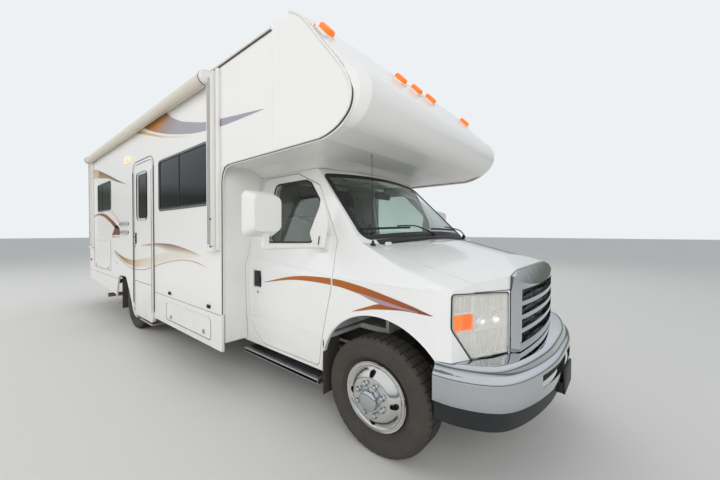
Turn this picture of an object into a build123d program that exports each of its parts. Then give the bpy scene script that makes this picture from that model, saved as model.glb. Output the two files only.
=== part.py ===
"""A class C motorhome: a moulded coach body with a bunk over the cab, on a van cutaway chassis
with twin rear wheels.

Millimetres. X points forward, Y to the vehicle's left and Z up, and the ground is at Z = 0.
The helpers take x as the distance ahead of the front axle, and they add FRONT_AXLE_X themselves.
"""
import math
import os

from build123d import *

os.makedirs("parts", exist_ok=True)

# Chassis
OVERALL_LENGTH = 7490
FRONT_OVERHANG = 870
WHEELBASE = 4013
FRONT_AXLE_X = OVERALL_LENGTH / 2 - FRONT_OVERHANG
REAR_END = FRONT_OVERHANG - OVERALL_LENGTH
RAIL_Y = 430
RAIL_TOP = 620
RAIL_HEIGHT = 165
RAIL_FLANGE = 62
RAIL_GAUGE = 7
RAIL_FRONT = 600
RAIL_REAR = -6440

# Wheels
TYRE_R = 372
TYRE_WIDTH = 223
RIM_LIP_R = 221
RIM_BEAD_R = 203
RIM_HALF_WIDTH = 84
FRONT_WHEEL_Y = 880
REAR_OUTER_Y = 1072
REAR_INNER_Y = 802
KINGPIN_Y = 770
HUB_R = 62
STEEL_GAUGE = 6

# Cab
CAB_REAR = -1473
CAB_SILL_Z = 400
CAB_ROOF_Z = 1950
FLOOR_CAB_Z = 680
CAB_WALL = 60
PANEL = 28
SHUT_GAP = 6
SCREEN_BASE_X = 0
SCREEN_BASE_Z = 1385
SCREEN_RUN = 530
SCREEN_RISE = 540
SCREEN_BOW_R = 3900
NOSE_X = 733
DOOR_HINGE_X = -350
DOOR_HINGE_Y = 992
DOOR_INNER_Y = 722
HINGE_RELIEF_R = 13
HINGE_RELIEFS = ((960, 1080),)
GLASS = 6
CAB_HALF = 1000
CAB_REACH = 1100
FLOOR_PAN = 40
SCREEN_FRONT_X = 150
HOOD_FORM_FOOT = 300
HOOD_EDGE_R = 70

# Coach
HALF_WIDTH = 1250
COACH_FRONT = -1404
COACH_REAR = -6520
WALL = 38
ROOF_Z = 2907
ROOF_THICK = 60
WALL_FOOT_Z = 680
SKIRT_FOOT_Z = 357
SKIRT = 25
FLOOR_Z = 800
FLOOR_THICK = 55
CAP_SEAM_X = -676
OVERCAB_Z = 2010
WELL_TOP_Z = 890
WELL_HALF = 440
DOOR_LEAF = 36

# Reaches of the cutting and trimming forms, past whatever they cut
REACH = 3000
LONG_REACH = 7000

SIDE = Plane(origin=(FRONT_AXLE_X, 0, 0), x_dir=(1, 0, 0), z_dir=(0, -1, 0))
TOP = Plane(origin=(FRONT_AXLE_X, 0, 0))
SIDES = (("right", -1), ("left", 1))


def face_at(x):
    """The plane across the vehicle at x, seen from ahead: local x is Y and local y is Z."""
    return Plane(origin=(FRONT_AXLE_X + x, 0, 0), x_dir=(0, 1, 0), z_dir=(1, 0, 0))


def block(x0, x1, y0, y1, z0, z1, mode=Mode.ADD):
    """A box between two corners."""
    with Locations((FRONT_AXLE_X + (x0 + x1) / 2, (y0 + y1) / 2, (z0 + z1) / 2)):
        Box(abs(x1 - x0), abs(y1 - y0), abs(z1 - z0), mode=mode)


def outline_on(plane, points, corner=0):
    """A closed outline on a plane, its corners rounded by one radius."""
    with BuildSketch(plane) as outline:
        with BuildLine():
            Polyline(*points, close=True)
        make_face()
        if corner:
            fillet(outline.vertices(), corner)
    return outline.sketch


def side_slab(points, y0, y1, mode=Mode.ADD, corner=0):
    """An outline in side view (x, z), as deep as from y0 to y1."""
    extrude(outline_on(SIDE.offset(-y0), points, corner), amount=y1 - y0, dir=(0, 1, 0), mode=mode)


def face_slab(points, x0, x1, mode=Mode.ADD, corner=0):
    """An outline in front view (y, z), from x0 to x1."""
    extrude(outline_on(face_at(x0), points, corner), amount=x1 - x0, dir=(1, 0, 0), mode=mode)


def rod(start, end, radius, mode=Mode.ADD):
    """A round bar from start to end."""
    foot = Vector(FRONT_AXLE_X + start[0], start[1], start[2])
    way = Vector(end[0] - start[0], end[1] - start[1], end[2] - start[2])
    with BuildSketch(Plane(origin=foot, z_dir=way)) as ring:
        Circle(radius)
    extrude(ring.sketch, amount=way.length, mode=mode)


def box_outline(x0, x1, z0, z1):
    """The four corners of an upright box."""
    return [(x0, z0), (x1, z0), (x1, z1), (x0, z1)]


def write(piece, name):
    """Label a finished piece and write it to its file."""
    piece.part.label = name
    export_step(piece.part, f"parts/{name}.step")


# The cab's outer form is made again, smaller all round, for its inner face.
# Half widths of the cab at each height
CAB_SECTION = ((970, CAB_SILL_Z), (992, 800), (CAB_HALF, 1100), (986, 1140), (790, CAB_ROOF_Z))
# Hood crown: x of the section, height at the middle, height where it meets the side
HOOD_SECTIONS = ((-1500, 1450, 1330), (-120, 1388, 1345), (150, 1356, 1215), (740, 1205, 1010))
# Nose in side view, from the foot up over the grille and back along the hood
NOSE_PROFILE = ((CAB_REAR, 380), (NOSE_X - 5, 380), (NOSE_X, 700), (NOSE_X, 1085), (660, 1195), (520, 1262),
                (300, 1330), (-300, 1500), (CAB_REAR, 1500))
# Nose in plan, half of it
NOSE_PLAN = ((CAB_REAR, CAB_HALF), (300, CAB_HALF), (405, 990), (478, 966), (645, 580), (700, 520))


def screen_plane():
    """A plane square to the windshield's slope, on the axis of its bow."""
    length = math.hypot(SCREEN_RUN, SCREEN_RISE)
    along = Vector(-SCREEN_RUN / length, 0, SCREEN_RISE / length)
    outwards = Vector(SCREEN_RISE / length, 0, SCREEN_RUN / length)
    foot = Vector(FRONT_AXLE_X + SCREEN_BASE_X, 0, SCREEN_BASE_Z)
    return Plane(origin=foot - outwards * SCREEN_BOW_R, x_dir=outwards, z_dir=along)


def cab_form(inset):
    """The closed form of cab, hood and nose, inset from the outer face."""
    with BuildPart() as greenhouse:
        with BuildSketch(screen_plane()) as bow:
            Circle(SCREEN_BOW_R - inset)
        extrude(bow.sketch, amount=REACH, both=True)
        roof_z = CAB_ROOF_Z - inset
        block(CAB_REAR, SCREEN_FRONT_X, -CAB_REACH, CAB_REACH, CAB_SILL_Z, roof_z, mode=Mode.INTERSECT)
    with BuildPart() as hood:
        sections = []
        for x, middle_z, edge_z in HOOD_SECTIONS:
            half = CAB_HALF - inset
            with BuildSketch(face_at(x)) as section:
                with BuildLine():
                    Line((-half, edge_z - inset), (-half, HOOD_FORM_FOOT))
                    Line((-half, HOOD_FORM_FOOT), (half, HOOD_FORM_FOOT))
                    Line((half, HOOD_FORM_FOOT), (half, edge_z - inset))
                    ThreePointArc((half, edge_z - inset), (0, middle_z - inset), (-half, edge_z - inset))
                make_face()
                fillet(section.vertices().group_by(Axis.Z)[-1], HOOD_EDGE_R)
            sections.append(section.sketch)
        loft(sections, ruled=True)
        nose = [(x - (inset if x > 0 else 0), z - (inset if z > CAB_SILL_Z else 0)) for x, z in NOSE_PROFILE]
        side_slab(nose, -CAB_REACH, CAB_REACH, mode=Mode.INTERSECT)
    with BuildPart() as form:
        add(greenhouse.part)
        add(hood.part)
        half_section = [(half - inset, z) for half, z in CAB_SECTION]
        section = half_section + [(-half, z) for half, z in reversed(half_section)]
        face_slab(section, CAB_REAR, NOSE_X + 10, mode=Mode.INTERSECT)
        shift = [(x - (inset if x > 0 else 0), y - inset) for x, y in NOSE_PLAN]
        with BuildSketch(TOP.offset(CAB_SILL_Z)) as plan:
            with BuildLine():
                Polyline(*shift)
                ThreePointArc(shift[-1], (NOSE_X - inset, 0), (shift[-1][0], -shift[-1][1]))
                Polyline(*[(x, -y) for x, y in reversed(shift)])
                Line((CAB_REAR, inset - CAB_HALF), (CAB_REAR, CAB_HALF - inset))
            make_face()
        extrude(plan.sketch, amount=CAB_ROOF_Z, mode=Mode.INTERSECT)
    return form.part


OUTER = cab_form(0)
INNER = cab_form(CAB_WALL)
LINING = cab_form(PANEL)


# Cab outlines, as (x, z) in side view or (y, z) in front view
CAB_DOOR = ((-1360, 640), (-1360, 1930), (-900, 1930), (-610, 1800), (-347, 1370), (-334, 1080),
            (-456, 600), (-484, 432), (-1165, 432), (-1290, 545))
CAB_WINDOW = ((-1170, 1335), (-1170, 1855), (-740, 1855), (-520, 1600), (-575, 1350))
HINGE_PILLAR = ((CAB_REAR, 380), (CAB_REAR, CAB_ROOF_Z), (SCREEN_FRONT_X, CAB_ROOF_Z), (SCREEN_FRONT_X, 1392),
                (-339, 1392), (-326, 1080), (-450, 600), (-478, 380))
DOOR_CORNER_R = 40
WINDOW_CORNER_R = 55
# Windshield in front view: half width and height of its lower and upper corners, and how each edge bows
SCREEN_FOOT = (898, 1372)
SCREEN_HEAD = (780, 1895)
SCREEN_FOOT_BOW = 32
SCREEN_HEAD_BOW = 28
SCREEN_CORNER_R = 50
SCREEN_CUT_X = -800
SCREEN_CUT = 1000
ARCH_X = 30
ARCH_Z = 420
ARCH_R = 475
WHEELHOUSE_R = 500
WHEELHOUSE_Y = 545
HEADLAMP = ((575, 728), (575, 1072), (962, 1086), (962, 905), (835, 728))
HEADLAMP_FRONT = 350
LAMP_SETBACK = 40
LAMP_GAP = 3
GRILLE_HALF = 560
GRILLE_FOOT = 728
GRILLE_TOP = 1190
GRILLE_REAR = 560
NOSE_REACH = 800
HOOD_REAR_MIDDLE_X = 48
HOOD_CUT = 400
HOOD_PLAN = ((-52, 812), (300, 832), (538, 812), (642, 596), (654, 556))
HOOD_LOW_Z = 1092
HOOD_HINGE_X = -20
HOOD_HINGE_Z = 1345
HOOD_KNUCKLE = (755, 795)
HOOD_KNUCKLE_R = 14


def hood_plan(margin):
    """The hood in plan, its rear edge bowed with the windshield."""
    side = [(x + (margin if x > 0 else -margin), y + margin) for x, y in HOOD_PLAN]
    with BuildSketch(TOP.offset(HOOD_LOW_Z - margin)) as plan:
        with BuildLine():
            Polyline(*side)
            Line(side[-1], (side[-1][0], -side[-1][1]))
            Polyline(*[(x, -y) for x, y in reversed(side)])
            ThreePointArc((side[0][0], -side[0][1]), (HOOD_REAR_MIDDLE_X - margin, 0), side[0])
        make_face()
    return plan.sketch


def door_outline(margin):
    """The cab door in side view, grown by a margin."""
    with BuildSketch(SIDE.offset(CAB_REACH)) as outline:
        with BuildLine():
            Polyline(*CAB_DOOR, close=True)
        make_face()
        fillet(outline.vertices(), DOOR_CORNER_R)
        if margin:
            offset(amount=margin, kind=Kind.ARC)
    return outline.sketch


def door_prism(margin, side):
    """The cab door's outline run through one side of the cab, short of the roof panel."""
    with BuildPart() as prism:
        extrude(door_outline(margin), amount=2 * CAB_REACH, dir=(0, 1, 0))
        inner_y = side * (DOOR_INNER_Y - margin)
        block(-REACH, SCREEN_FRONT_X, inner_y, -side * REACH, 0, REACH, mode=Mode.SUBTRACT)
    return prism.part


def door_sweep(side):
    """What the door's outer rear edge sweeps round its hinge: whatever lies inside it clears the pillar."""
    reach = DOOR_HINGE_X - CAB_DOOR[0][0]
    heights = [CAB_SECTION[0][1], CAB_SECTION[2][1], CAB_SECTION[3][1]]
    heights += [CAB_SECTION[3][1] + share * (CAB_ROOF_Z - CAB_SECTION[3][1]) for share in (0.25, 0.5, 0.75, 1)]
    belt_half, belt_z = CAB_SECTION[3]
    top_half, top_z = CAB_SECTION[4]
    profile = [(0, heights[0])]
    for z in heights:
        share = max(z - belt_z, 0) / (top_z - belt_z)
        half = belt_half + (top_half - belt_half) * share
        profile.append((math.hypot(reach, DOOR_HINGE_Y - half), z))
    profile.append((0, CAB_ROOF_Z))
    hinge = (FRONT_AXLE_X + DOOR_HINGE_X, side * DOOR_HINGE_Y, 0)
    with BuildPart() as sweep:
        with BuildSketch(Plane(origin=hinge, x_dir=(1, 0, 0), z_dir=(0, -1, 0))) as half_section:
            with BuildLine():
                Polyline(*profile, close=True)
            make_face()
        revolve(half_section.sketch, axis=Axis(hinge, (0, 0, 1)))
    return sweep.part


def window_outline(margin):
    """The cab door's window in side view, grown by a margin."""
    with BuildSketch(SIDE.offset(CAB_REACH)) as outline:
        with BuildLine():
            Polyline(*CAB_WINDOW, close=True)
        make_face()
        fillet(outline.vertices(), WINDOW_CORNER_R)
        if margin:
            offset(amount=margin, kind=Kind.ARC)
    return outline.sketch


def screen_prism(margin, mode):
    """The windshield's outline in front view, grown by a margin and run through the cab."""
    foot_y, foot_z = SCREEN_FOOT
    head_y, head_z = SCREEN_HEAD
    with BuildSketch(face_at(SCREEN_CUT_X)) as outline:
        with BuildLine():
            ThreePointArc((-foot_y, foot_z), (0, foot_z + SCREEN_FOOT_BOW), (foot_y, foot_z))
            Line((foot_y, foot_z), (head_y, head_z))
            ThreePointArc((head_y, head_z), (0, head_z + SCREEN_HEAD_BOW), (-head_y, head_z))
            Line((-head_y, head_z), (-foot_y, foot_z))
        make_face()
        fillet(outline.vertices(), SCREEN_CORNER_R)
        if margin:
            offset(amount=margin, kind=Kind.ARC)
    extrude(outline.sketch, amount=SCREEN_CUT, dir=(1, 0, 0), mode=mode)


# Cab shell: pillars, sills, roof, cowl and floor, open behind into the coach
SILL_INNER_Y = 930
SILL_FRONT_X = -700
ROOF_HOLE_X = -900
ROOF_HOLE_HALF = 700
COWL = (-176, -60, 800, 1290, 1400)
HINGE_POST = (-330, -150, 1330)
FOOTWELL = (-330, -175, 880, 470, 1300)
ENGINE_HOLE = (-700, -100, 250, 1005)
with BuildPart() as cab_shell:
    add(OUTER)
    add(INNER, mode=Mode.SUBTRACT)
    side_slab(HINGE_PILLAR, -CAB_REACH, CAB_REACH, mode=Mode.INTERSECT)
    block(CAB_REAR - 5, SILL_FRONT_X, -SILL_INNER_Y, SILL_INNER_Y, CAB_SILL_Z - 30, FLOOR_CAB_Z - FLOOR_PAN,
          mode=Mode.SUBTRACT)
    for _, side in SIDES:
        add(door_prism(SHUT_GAP, side), mode=Mode.SUBTRACT)
    with BuildPart(mode=Mode.PRIVATE) as cowl:
        add(LINING)
        x0, x1, half, z0, z1 = COWL
        block(x0, x1, -half, half, z0, z1, mode=Mode.INTERSECT)
    add(cowl.part)
    screen_prism(1, Mode.SUBTRACT)
    extrude(hood_plan(SHUT_GAP), amount=HOOD_CUT, mode=Mode.SUBTRACT)
    block(CAB_REAR - 5, ROOF_HOLE_X, -ROOF_HOLE_HALF, ROOF_HOLE_HALF, CAB_ROOF_Z - CAB_WALL - 5, CAB_ROOF_Z + 5,
          mode=Mode.SUBTRACT)
    with BuildPart(mode=Mode.PRIVATE) as pillars:
        add(LINING)
        x0, x1, z1 = HINGE_POST
        block(x0, x1, -CAB_HALF, CAB_HALF, FLOOR_CAB_Z - FLOOR_PAN, z1, mode=Mode.INTERSECT)
        x0, x1, half, z0, z1 = FOOTWELL
        block(x0, x1, -half, half, z0, z1, mode=Mode.SUBTRACT)
    add(pillars.part)
    with BuildPart(mode=Mode.PRIVATE) as floor_pan:
        add(LINING)
        block(CAB_REAR, x1, -CAB_HALF, CAB_HALF, FLOOR_CAB_Z - FLOOR_PAN, FLOOR_CAB_Z, mode=Mode.INTERSECT)
    add(floor_pan.part)
    x0, x1, half, z1 = ENGINE_HOLE
    block(x0, x1, -half, half, FLOOR_CAB_Z - FLOOR_PAN - 10, z1, mode=Mode.SUBTRACT)
    for _, side in SIDES:
        add(door_prism(SHUT_GAP, side), mode=Mode.SUBTRACT)
        rod((ARCH_X, side * WHEELHOUSE_Y, ARCH_Z), (ARCH_X, side * CAB_REACH, ARCH_Z), WHEELHOUSE_R,
            mode=Mode.SUBTRACT)
        for z0, z1 in HINGE_RELIEFS:
            hinge = (DOOR_HINGE_X, side * DOOR_HINGE_Y)
            rod((*hinge, z0), (*hinge, z1), HINGE_RELIEF_R, mode=Mode.SUBTRACT)
write(cab_shell, "cab_shell")

with BuildPart() as windshield:
    add(OUTER)
    add(cab_form(GLASS), mode=Mode.SUBTRACT)
    screen_prism(0, Mode.INTERSECT)
write(windshield, "windshield")

# Front fenders, with the wheelhouse liners and the radiator support that joins them
GRILLE_GAP = 8
FENDER_FOOT_X = 380
FENDER_FOOT_Z = 722
FENDER_INNER = (-400, 960, 500)
LINER_OUTER_Y = 972
LINER_GAUGE = 15
LINER_SPAN = (-325, 520, 470, 1000)
SUPPORT = (455, 475, 760, 1060)
SUPPORT_HOLE = (500, 680, 1000)


def arch_rod(side, outer_y, inner_y, radius, mode=Mode.ADD):
    """A rod across one front wheel arch, on the arch's own axis."""
    rod((ARCH_X, side * outer_y, ARCH_Z), (ARCH_X, side * inner_y, ARCH_Z), radius, mode)


with BuildPart() as front_fenders:
    add(OUTER)
    add(LINING, mode=Mode.SUBTRACT)
    side_slab(HINGE_PILLAR, -CAB_REACH, CAB_REACH, mode=Mode.SUBTRACT)
    extrude(hood_plan(SHUT_GAP), amount=HOOD_CUT, mode=Mode.SUBTRACT)
    half = GRILLE_HALF + GRILLE_GAP
    block(GRILLE_REAR, NOSE_REACH, -half, half, GRILLE_FOOT - GRILLE_GAP, GRILLE_TOP + 40, mode=Mode.SUBTRACT)
    block(FENDER_FOOT_X, NOSE_REACH, -CAB_REACH, CAB_REACH, 0, FENDER_FOOT_Z, mode=Mode.SUBTRACT)
    x0, half, z1 = FENDER_INNER
    block(x0, NOSE_REACH, -half, half, 0, z1, mode=Mode.SUBTRACT)
    for _, side in SIDES:
        lamp_hole = [(side * y, z) for y, z in HEADLAMP]
        face_slab(lamp_hole, HEADLAMP_FRONT, NOSE_REACH, mode=Mode.SUBTRACT)
        arch_rod(side, CAB_REACH, WHEELHOUSE_Y, ARCH_R, Mode.SUBTRACT)
    with BuildPart(mode=Mode.PRIVATE) as liners:
        for _, side in SIDES:
            arch_rod(side, LINER_OUTER_Y, WHEELHOUSE_Y, ARCH_R + LINER_GAUGE)
            arch_rod(side, LINER_OUTER_Y + 8, WHEELHOUSE_Y - 1, ARCH_R, Mode.SUBTRACT)
        x0, x1, z0, z1 = LINER_SPAN
        block(x0, x1, -CAB_HALF, CAB_HALF, z0, z1, mode=Mode.INTERSECT)
    add(liners.part)
    x0, x1, half, z1 = SUPPORT
    block(x0, x1, -half, half, RAIL_TOP, z1)
    half, z0, z1 = SUPPORT_HOLE
    block(x0 - 5, x1 + 5, -half, half, z0, z1, mode=Mode.SUBTRACT)
    screen_prism(2, Mode.SUBTRACT)
    for _, side in SIDES:
        block(FENDER_FOOT_X, 600, side * 800, side * CAB_REACH, 0, FENDER_FOOT_Z + 2, mode=Mode.SUBTRACT)
        arch_rod(side, CAB_REACH, WHEELHOUSE_Y, ARCH_R, Mode.SUBTRACT)
write(front_fenders, "front_fenders")

with BuildPart() as hood:
    add(OUTER)
    add(LINING, mode=Mode.SUBTRACT)
    extrude(hood_plan(0), amount=HOOD_CUT, mode=Mode.INTERSECT)
    for _, side in SIDES:
        y0, y1 = HOOD_KNUCKLE
        rod((HOOD_HINGE_X, side * y0, HOOD_HINGE_Z), (HOOD_HINGE_X, side * y1, HOOD_HINGE_Z), HOOD_KNUCKLE_R)
write(hood, "hood")

with BuildPart() as headlamps:
    for _, side in SIDES:
        with BuildPart(mode=Mode.PRIVATE) as lamp:
            add(OUTER)
            add(INNER, mode=Mode.SUBTRACT)
            lens = [(side * y, z) for y, z in HEADLAMP]
            with BuildSketch(face_at(HEADLAMP_FRONT + LAMP_SETBACK)) as lens_outline:
                with BuildLine():
                    Polyline(*lens, close=True)
                make_face()
                offset(amount=-LAMP_GAP, kind=Kind.INTERSECTION)
            extrude(lens_outline.sketch, amount=NOSE_REACH, dir=(1, 0, 0), mode=Mode.INTERSECT)
        add(lamp.part)
write(headlamps, "headlamps")

# Grille: a chromed surround with cross bars and fine uprights behind them
GRILLE_VISOR_Z = 1088
GRILLE_HEAD_HALF = GRILLE_HALF - 12
GRILLE_RING = ((-GRILLE_HALF, GRILLE_FOOT), (GRILLE_HALF, GRILLE_FOOT), (GRILLE_HALF, GRILLE_VISOR_Z),
               (GRILLE_HEAD_HALF, GRILLE_TOP), (-GRILLE_HEAD_HALF, GRILLE_TOP), (-GRILLE_HALF, GRILLE_VISOR_Z))
GRILLE_HOLE = (-GRILLE_HALF + 62, GRILLE_HALF - 62, GRILLE_FOOT + 44, GRILLE_VISOR_Z)
GRILLE_BARS = (845, 925, 1005)
GRILLE_BACK = 660
GRILLE_BAR_HEIGHT = 26
UPRIGHT_PITCH = 41
UPRIGHT_HALF = 3
UPRIGHT_SETBACK = 6
UPRIGHT_DEPTH = 9
GRILLE_BRACE_HALF = 20
with BuildPart() as front_grille:
    add(OUTER)
    add(INNER, mode=Mode.SUBTRACT)
    face_slab(GRILLE_RING, GRILLE_BACK, NOSE_REACH, mode=Mode.INTERSECT)
    face_slab(box_outline(*GRILLE_HOLE), GRILLE_REAR, NOSE_REACH, mode=Mode.SUBTRACT)
    with BuildPart(mode=Mode.PRIVATE) as bars:
        add(OUTER)
        add(LINING, mode=Mode.SUBTRACT)
        with BuildPart(mode=Mode.PRIVATE) as bands:
            half_bar = GRILLE_BAR_HEIGHT / 2
            reach = GRILLE_HOLE[1] + 5
            for bar_z in GRILLE_BARS:
                block(GRILLE_BACK, NOSE_REACH, -reach, reach, bar_z - half_bar, bar_z + half_bar)
        add(bands.part, mode=Mode.INTERSECT)
    add(bars.part)
    uprights = int((GRILLE_HOLE[1] - GRILLE_HOLE[0]) / UPRIGHT_PITCH)
    for step in range(uprights + 1):
        upright_y = (step - uprights / 2) * UPRIGHT_PITCH
        x0 = GRILLE_BACK + UPRIGHT_SETBACK
        block(x0, x0 + UPRIGHT_DEPTH, upright_y - UPRIGHT_HALF, upright_y + UPRIGHT_HALF, GRILLE_HOLE[2] - 5,
              GRILLE_HOLE[3] + 5)
    for bar_z in GRILLE_BARS:
        block(GRILLE_BACK + 10, NOSE_X - 10, -GRILLE_BRACE_HALF, GRILLE_BRACE_HALF, bar_z - 8, bar_z + 8)
write(front_grille, "front_grille")

# Front bumper, drawn in plan as half an outline from the nose back to the wheel arch
BUMPER_NOSE = FRONT_OVERHANG - 12
BUMPER_REAR_X = 384
BUMPER_SIDE_Y = 950
BUMPER_HALF = ((BUMPER_NOSE - 9, 300), (803, 600), (735, 810), (640, 920), (500, 978), (BUMPER_REAR_X, 990))
BUMPER_BEND_R = 90
BUMPER_FOOT = 500
BUMPER_STEP = 660
BUMPER_TOP = 722
BUMPER_GAUGE = 12
BUMPER_SETBACK = 34
LEDGE_THICK = 10
LEDGE_DEPTH = 48
SHELF_THICK = 8
SHELF_DEPTH = 120
AIR_SLOT = (700, 540, 560, 632)
HORN_HALF = 30
HORN_Z = (552, 648)
VALANCE_FOOT = 380
VALANCE_SETBACK = 30
VALANCE_GAUGE = 10


def bumper_band(inset, z0, z1, gauge):
    """A band of the bumper's plan, set back by inset and as thick as gauge."""
    half = [(x - (inset if y < BUMPER_SIDE_Y else 0), y - inset) for x, y in BUMPER_HALF]
    nose_x = BUMPER_NOSE - inset
    with BuildPart() as band:
        with BuildSketch(TOP.offset(z0)) as plan:
            with BuildLine():
                ThreePointArc(half[0], (nose_x, 0), (half[0][0], -half[0][1]))
                Polyline(*half)
                Polyline(*[(x, -y) for x, y in half])
                Line(half[-1], (half[-1][0], -half[-1][1]))
            make_face()
            bends = plan.vertices().filter_by_position(Axis.X, BUMPER_REAR_X + 30, NOSE_REACH + 50)
            fillet(bends.filter_by(lambda bend: abs(bend.Y) > 400), BUMPER_BEND_R)
        extrude(plan.sketch, amount=z1 - z0)
        with BuildSketch(TOP.offset(z0 - 1)) as inner:
            add(plan.sketch_local)
            offset(amount=-gauge, kind=Kind.INTERSECTION)
        extrude(inner.sketch, amount=z1 - z0 + 2, mode=Mode.SUBTRACT)
        block(BUMPER_REAR_X - 24, BUMPER_REAR_X + gauge + 1, -BUMPER_SIDE_Y, BUMPER_SIDE_Y, z0 - 1, z1 + 1,
              mode=Mode.SUBTRACT)
    return band.part


with BuildPart() as front_bumper:
    add(bumper_band(0, BUMPER_FOOT, BUMPER_STEP, BUMPER_GAUGE))
    add(bumper_band(BUMPER_SETBACK, BUMPER_STEP - LEDGE_THICK, BUMPER_TOP, BUMPER_GAUGE))
    add(bumper_band(0, BUMPER_STEP - LEDGE_THICK, BUMPER_STEP, LEDGE_DEPTH))
    with BuildPart(mode=Mode.PRIVATE) as shelf:
        add(bumper_band(BUMPER_SETBACK, BUMPER_TOP - SHELF_THICK, BUMPER_TOP, SHELF_DEPTH))
        add(OUTER, mode=Mode.SUBTRACT)
    add(shelf.part)
    x0, half, z0, z1 = AIR_SLOT
    block(x0, FRONT_OVERHANG, -half, half, z0, z1, mode=Mode.SUBTRACT)
    for _, side in SIDES:
        block(RAIL_FRONT, BUMPER_NOSE - 20, side * (RAIL_Y - HORN_HALF), side * (RAIL_Y + HORN_HALF), *HORN_Z)
write(front_bumper, "front_bumper")

PLATE_HOLE_PITCH = 178
PLATE_HOLE_R = 3.5
PLATE_HALF = 152
PLATE_HOLE_Z = 505
PLATE_Z = (400, 545)
PLATE_ARM_TOP = 470
with BuildPart() as bumper_valance:
    add(bumper_band(VALANCE_SETBACK, VALANCE_FOOT, BUMPER_FOOT, VALANCE_GAUGE))
    rear_x = BUMPER_NOSE - VALANCE_SETBACK - 4
    block(780, rear_x - 1, -AIR_SLOT[1], AIR_SLOT[1], BUMPER_FOOT - 8, BUMPER_FOOT)
    block(rear_x, FRONT_OVERHANG, -PLATE_HALF, PLATE_HALF, PLATE_Z[0], PLATE_ARM_TOP)
    block(BUMPER_NOSE, FRONT_OVERHANG, -PLATE_HALF, PLATE_HALF, *PLATE_Z)
    for hole_y in (-PLATE_HOLE_PITCH / 2, PLATE_HOLE_PITCH / 2):
        rod((BUMPER_NOSE - 5, hole_y, PLATE_HOLE_Z), (FRONT_OVERHANG + 5, hole_y, PLATE_HOLE_Z), PLATE_HOLE_R,
            mode=Mode.SUBTRACT)
write(bumper_valance, "bumper_valance")

# Cab doors, each with its window and its mirror
GLASS_SETBACK = 18
MIRROR_ARM_Z = 1325
MIRROR_ARM_R = 19
MIRROR_ARM_FOOT = (-470, 975)
MIRROR_HEAD = (-640, -540, 1258, 1540, 1395, 1700)
MIRROR_CORNER_R = 45
MIRROR_TAPER = (60, 70)
MIRROR_POST = (-602, -568, 1372, 1412)
MIRROR_ROOT = ((935, 1290), (985, 1290), (960, 1400), (915, 1400))
MIRROR_ROOT_X = (-530, -410)
for hand, side in SIDES:
    with BuildPart() as cab_door:
        add(OUTER)
        add(INNER, mode=Mode.SUBTRACT)
        add(door_prism(0, side), mode=Mode.INTERSECT)
        add(door_sweep(side), mode=Mode.INTERSECT)
        extrude(window_outline(0), amount=2 * CAB_REACH, dir=(0, 1, 0), mode=Mode.SUBTRACT)
    write(cab_door, f"cab_door_{hand}")

    with BuildPart() as door_glass:
        add(cab_form(GLASS_SETBACK))
        add(cab_form(GLASS_SETBACK + GLASS), mode=Mode.SUBTRACT)
        extrude(window_outline(0), amount=2 * CAB_REACH, dir=(0, 1, 0), mode=Mode.INTERSECT)
        block(CAB_REAR, 0, 0, -side * CAB_REACH, 0, REACH, mode=Mode.SUBTRACT)
    write(door_glass, f"cab_door_glass_{hand}")

    with BuildPart() as mirror:
        x0, x1, y0, y1, z0, z1 = MIRROR_HEAD
        with BuildSketch(face_at(x0)) as back:
            with Locations((side * (y0 + y1) / 2, (z0 + z1) / 2)):
                RectangleRounded(y1 - y0, z1 - z0, MIRROR_CORNER_R)
        with BuildSketch(face_at(x1)) as front:
            with Locations((side * (y0 + y1) / 2, (z0 + z1) / 2)):
                RectangleRounded(y1 - y0 - MIRROR_TAPER[0], z1 - z0 - MIRROR_TAPER[1], MIRROR_CORNER_R)
        loft([back.sketch, front.sketch])
        x0, x1, y0, y1 = MIRROR_POST
        block(x0, x1, side * y0, side * y1, MIRROR_ARM_Z, z0 + 60)
        arm_end = ((x0 + x1) / 2, side * (y1 - 12), MIRROR_ARM_Z)
        rod(arm_end, (MIRROR_ARM_FOOT[0], side * MIRROR_ARM_FOOT[1], MIRROR_ARM_Z), MIRROR_ARM_R)
        face_slab([(side * y, z) for y, z in MIRROR_ROOT], *MIRROR_ROOT_X)
        add(OUTER, mode=Mode.SUBTRACT)
    write(mirror, f"mirror_{hand}")

# Inside the cab: steering wheel, dashboard with the engine cover, seats
WHEEL_HUB = (-640, 390, 1120)
WHEEL_AXIS = (-0.77, 0, 0.64)
WHEEL_R = 195
WHEEL_GRIP = 27
WHEEL_BOSS_R = 62
SPOKE_WIDTH = 40
COLUMN_R = 30
COLUMN_LENGTH = 95
with BuildPart() as steering_wheel:
    hub_x, hub_y, hub_z = WHEEL_HUB
    tilt = Plane(origin=(FRONT_AXLE_X + hub_x, hub_y, hub_z), x_dir=(0, 1, 0), z_dir=WHEEL_AXIS)
    with BuildSketch(tilt) as rim_ring:
        Circle(WHEEL_R)
        Circle(WHEEL_R - WHEEL_GRIP, mode=Mode.SUBTRACT)
    extrude(rim_ring.sketch, amount=12, both=True)
    with BuildSketch(tilt) as spokes:
        Rectangle(2 * (WHEEL_R - 20), SPOKE_WIDTH)
        Circle(WHEEL_BOSS_R)
    extrude(spokes.sketch, amount=9, both=True)
    with BuildSketch(tilt) as column:
        Circle(COLUMN_R)
    extrude(column.sketch, amount=-COLUMN_LENGTH)
write(steering_wheel, "steering_wheel")

DESK = (-560, -176, 875, 1000, 1290)
DESK_GAP = 12
COVER_HALF = 270
COVER_WALL = 20
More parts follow.
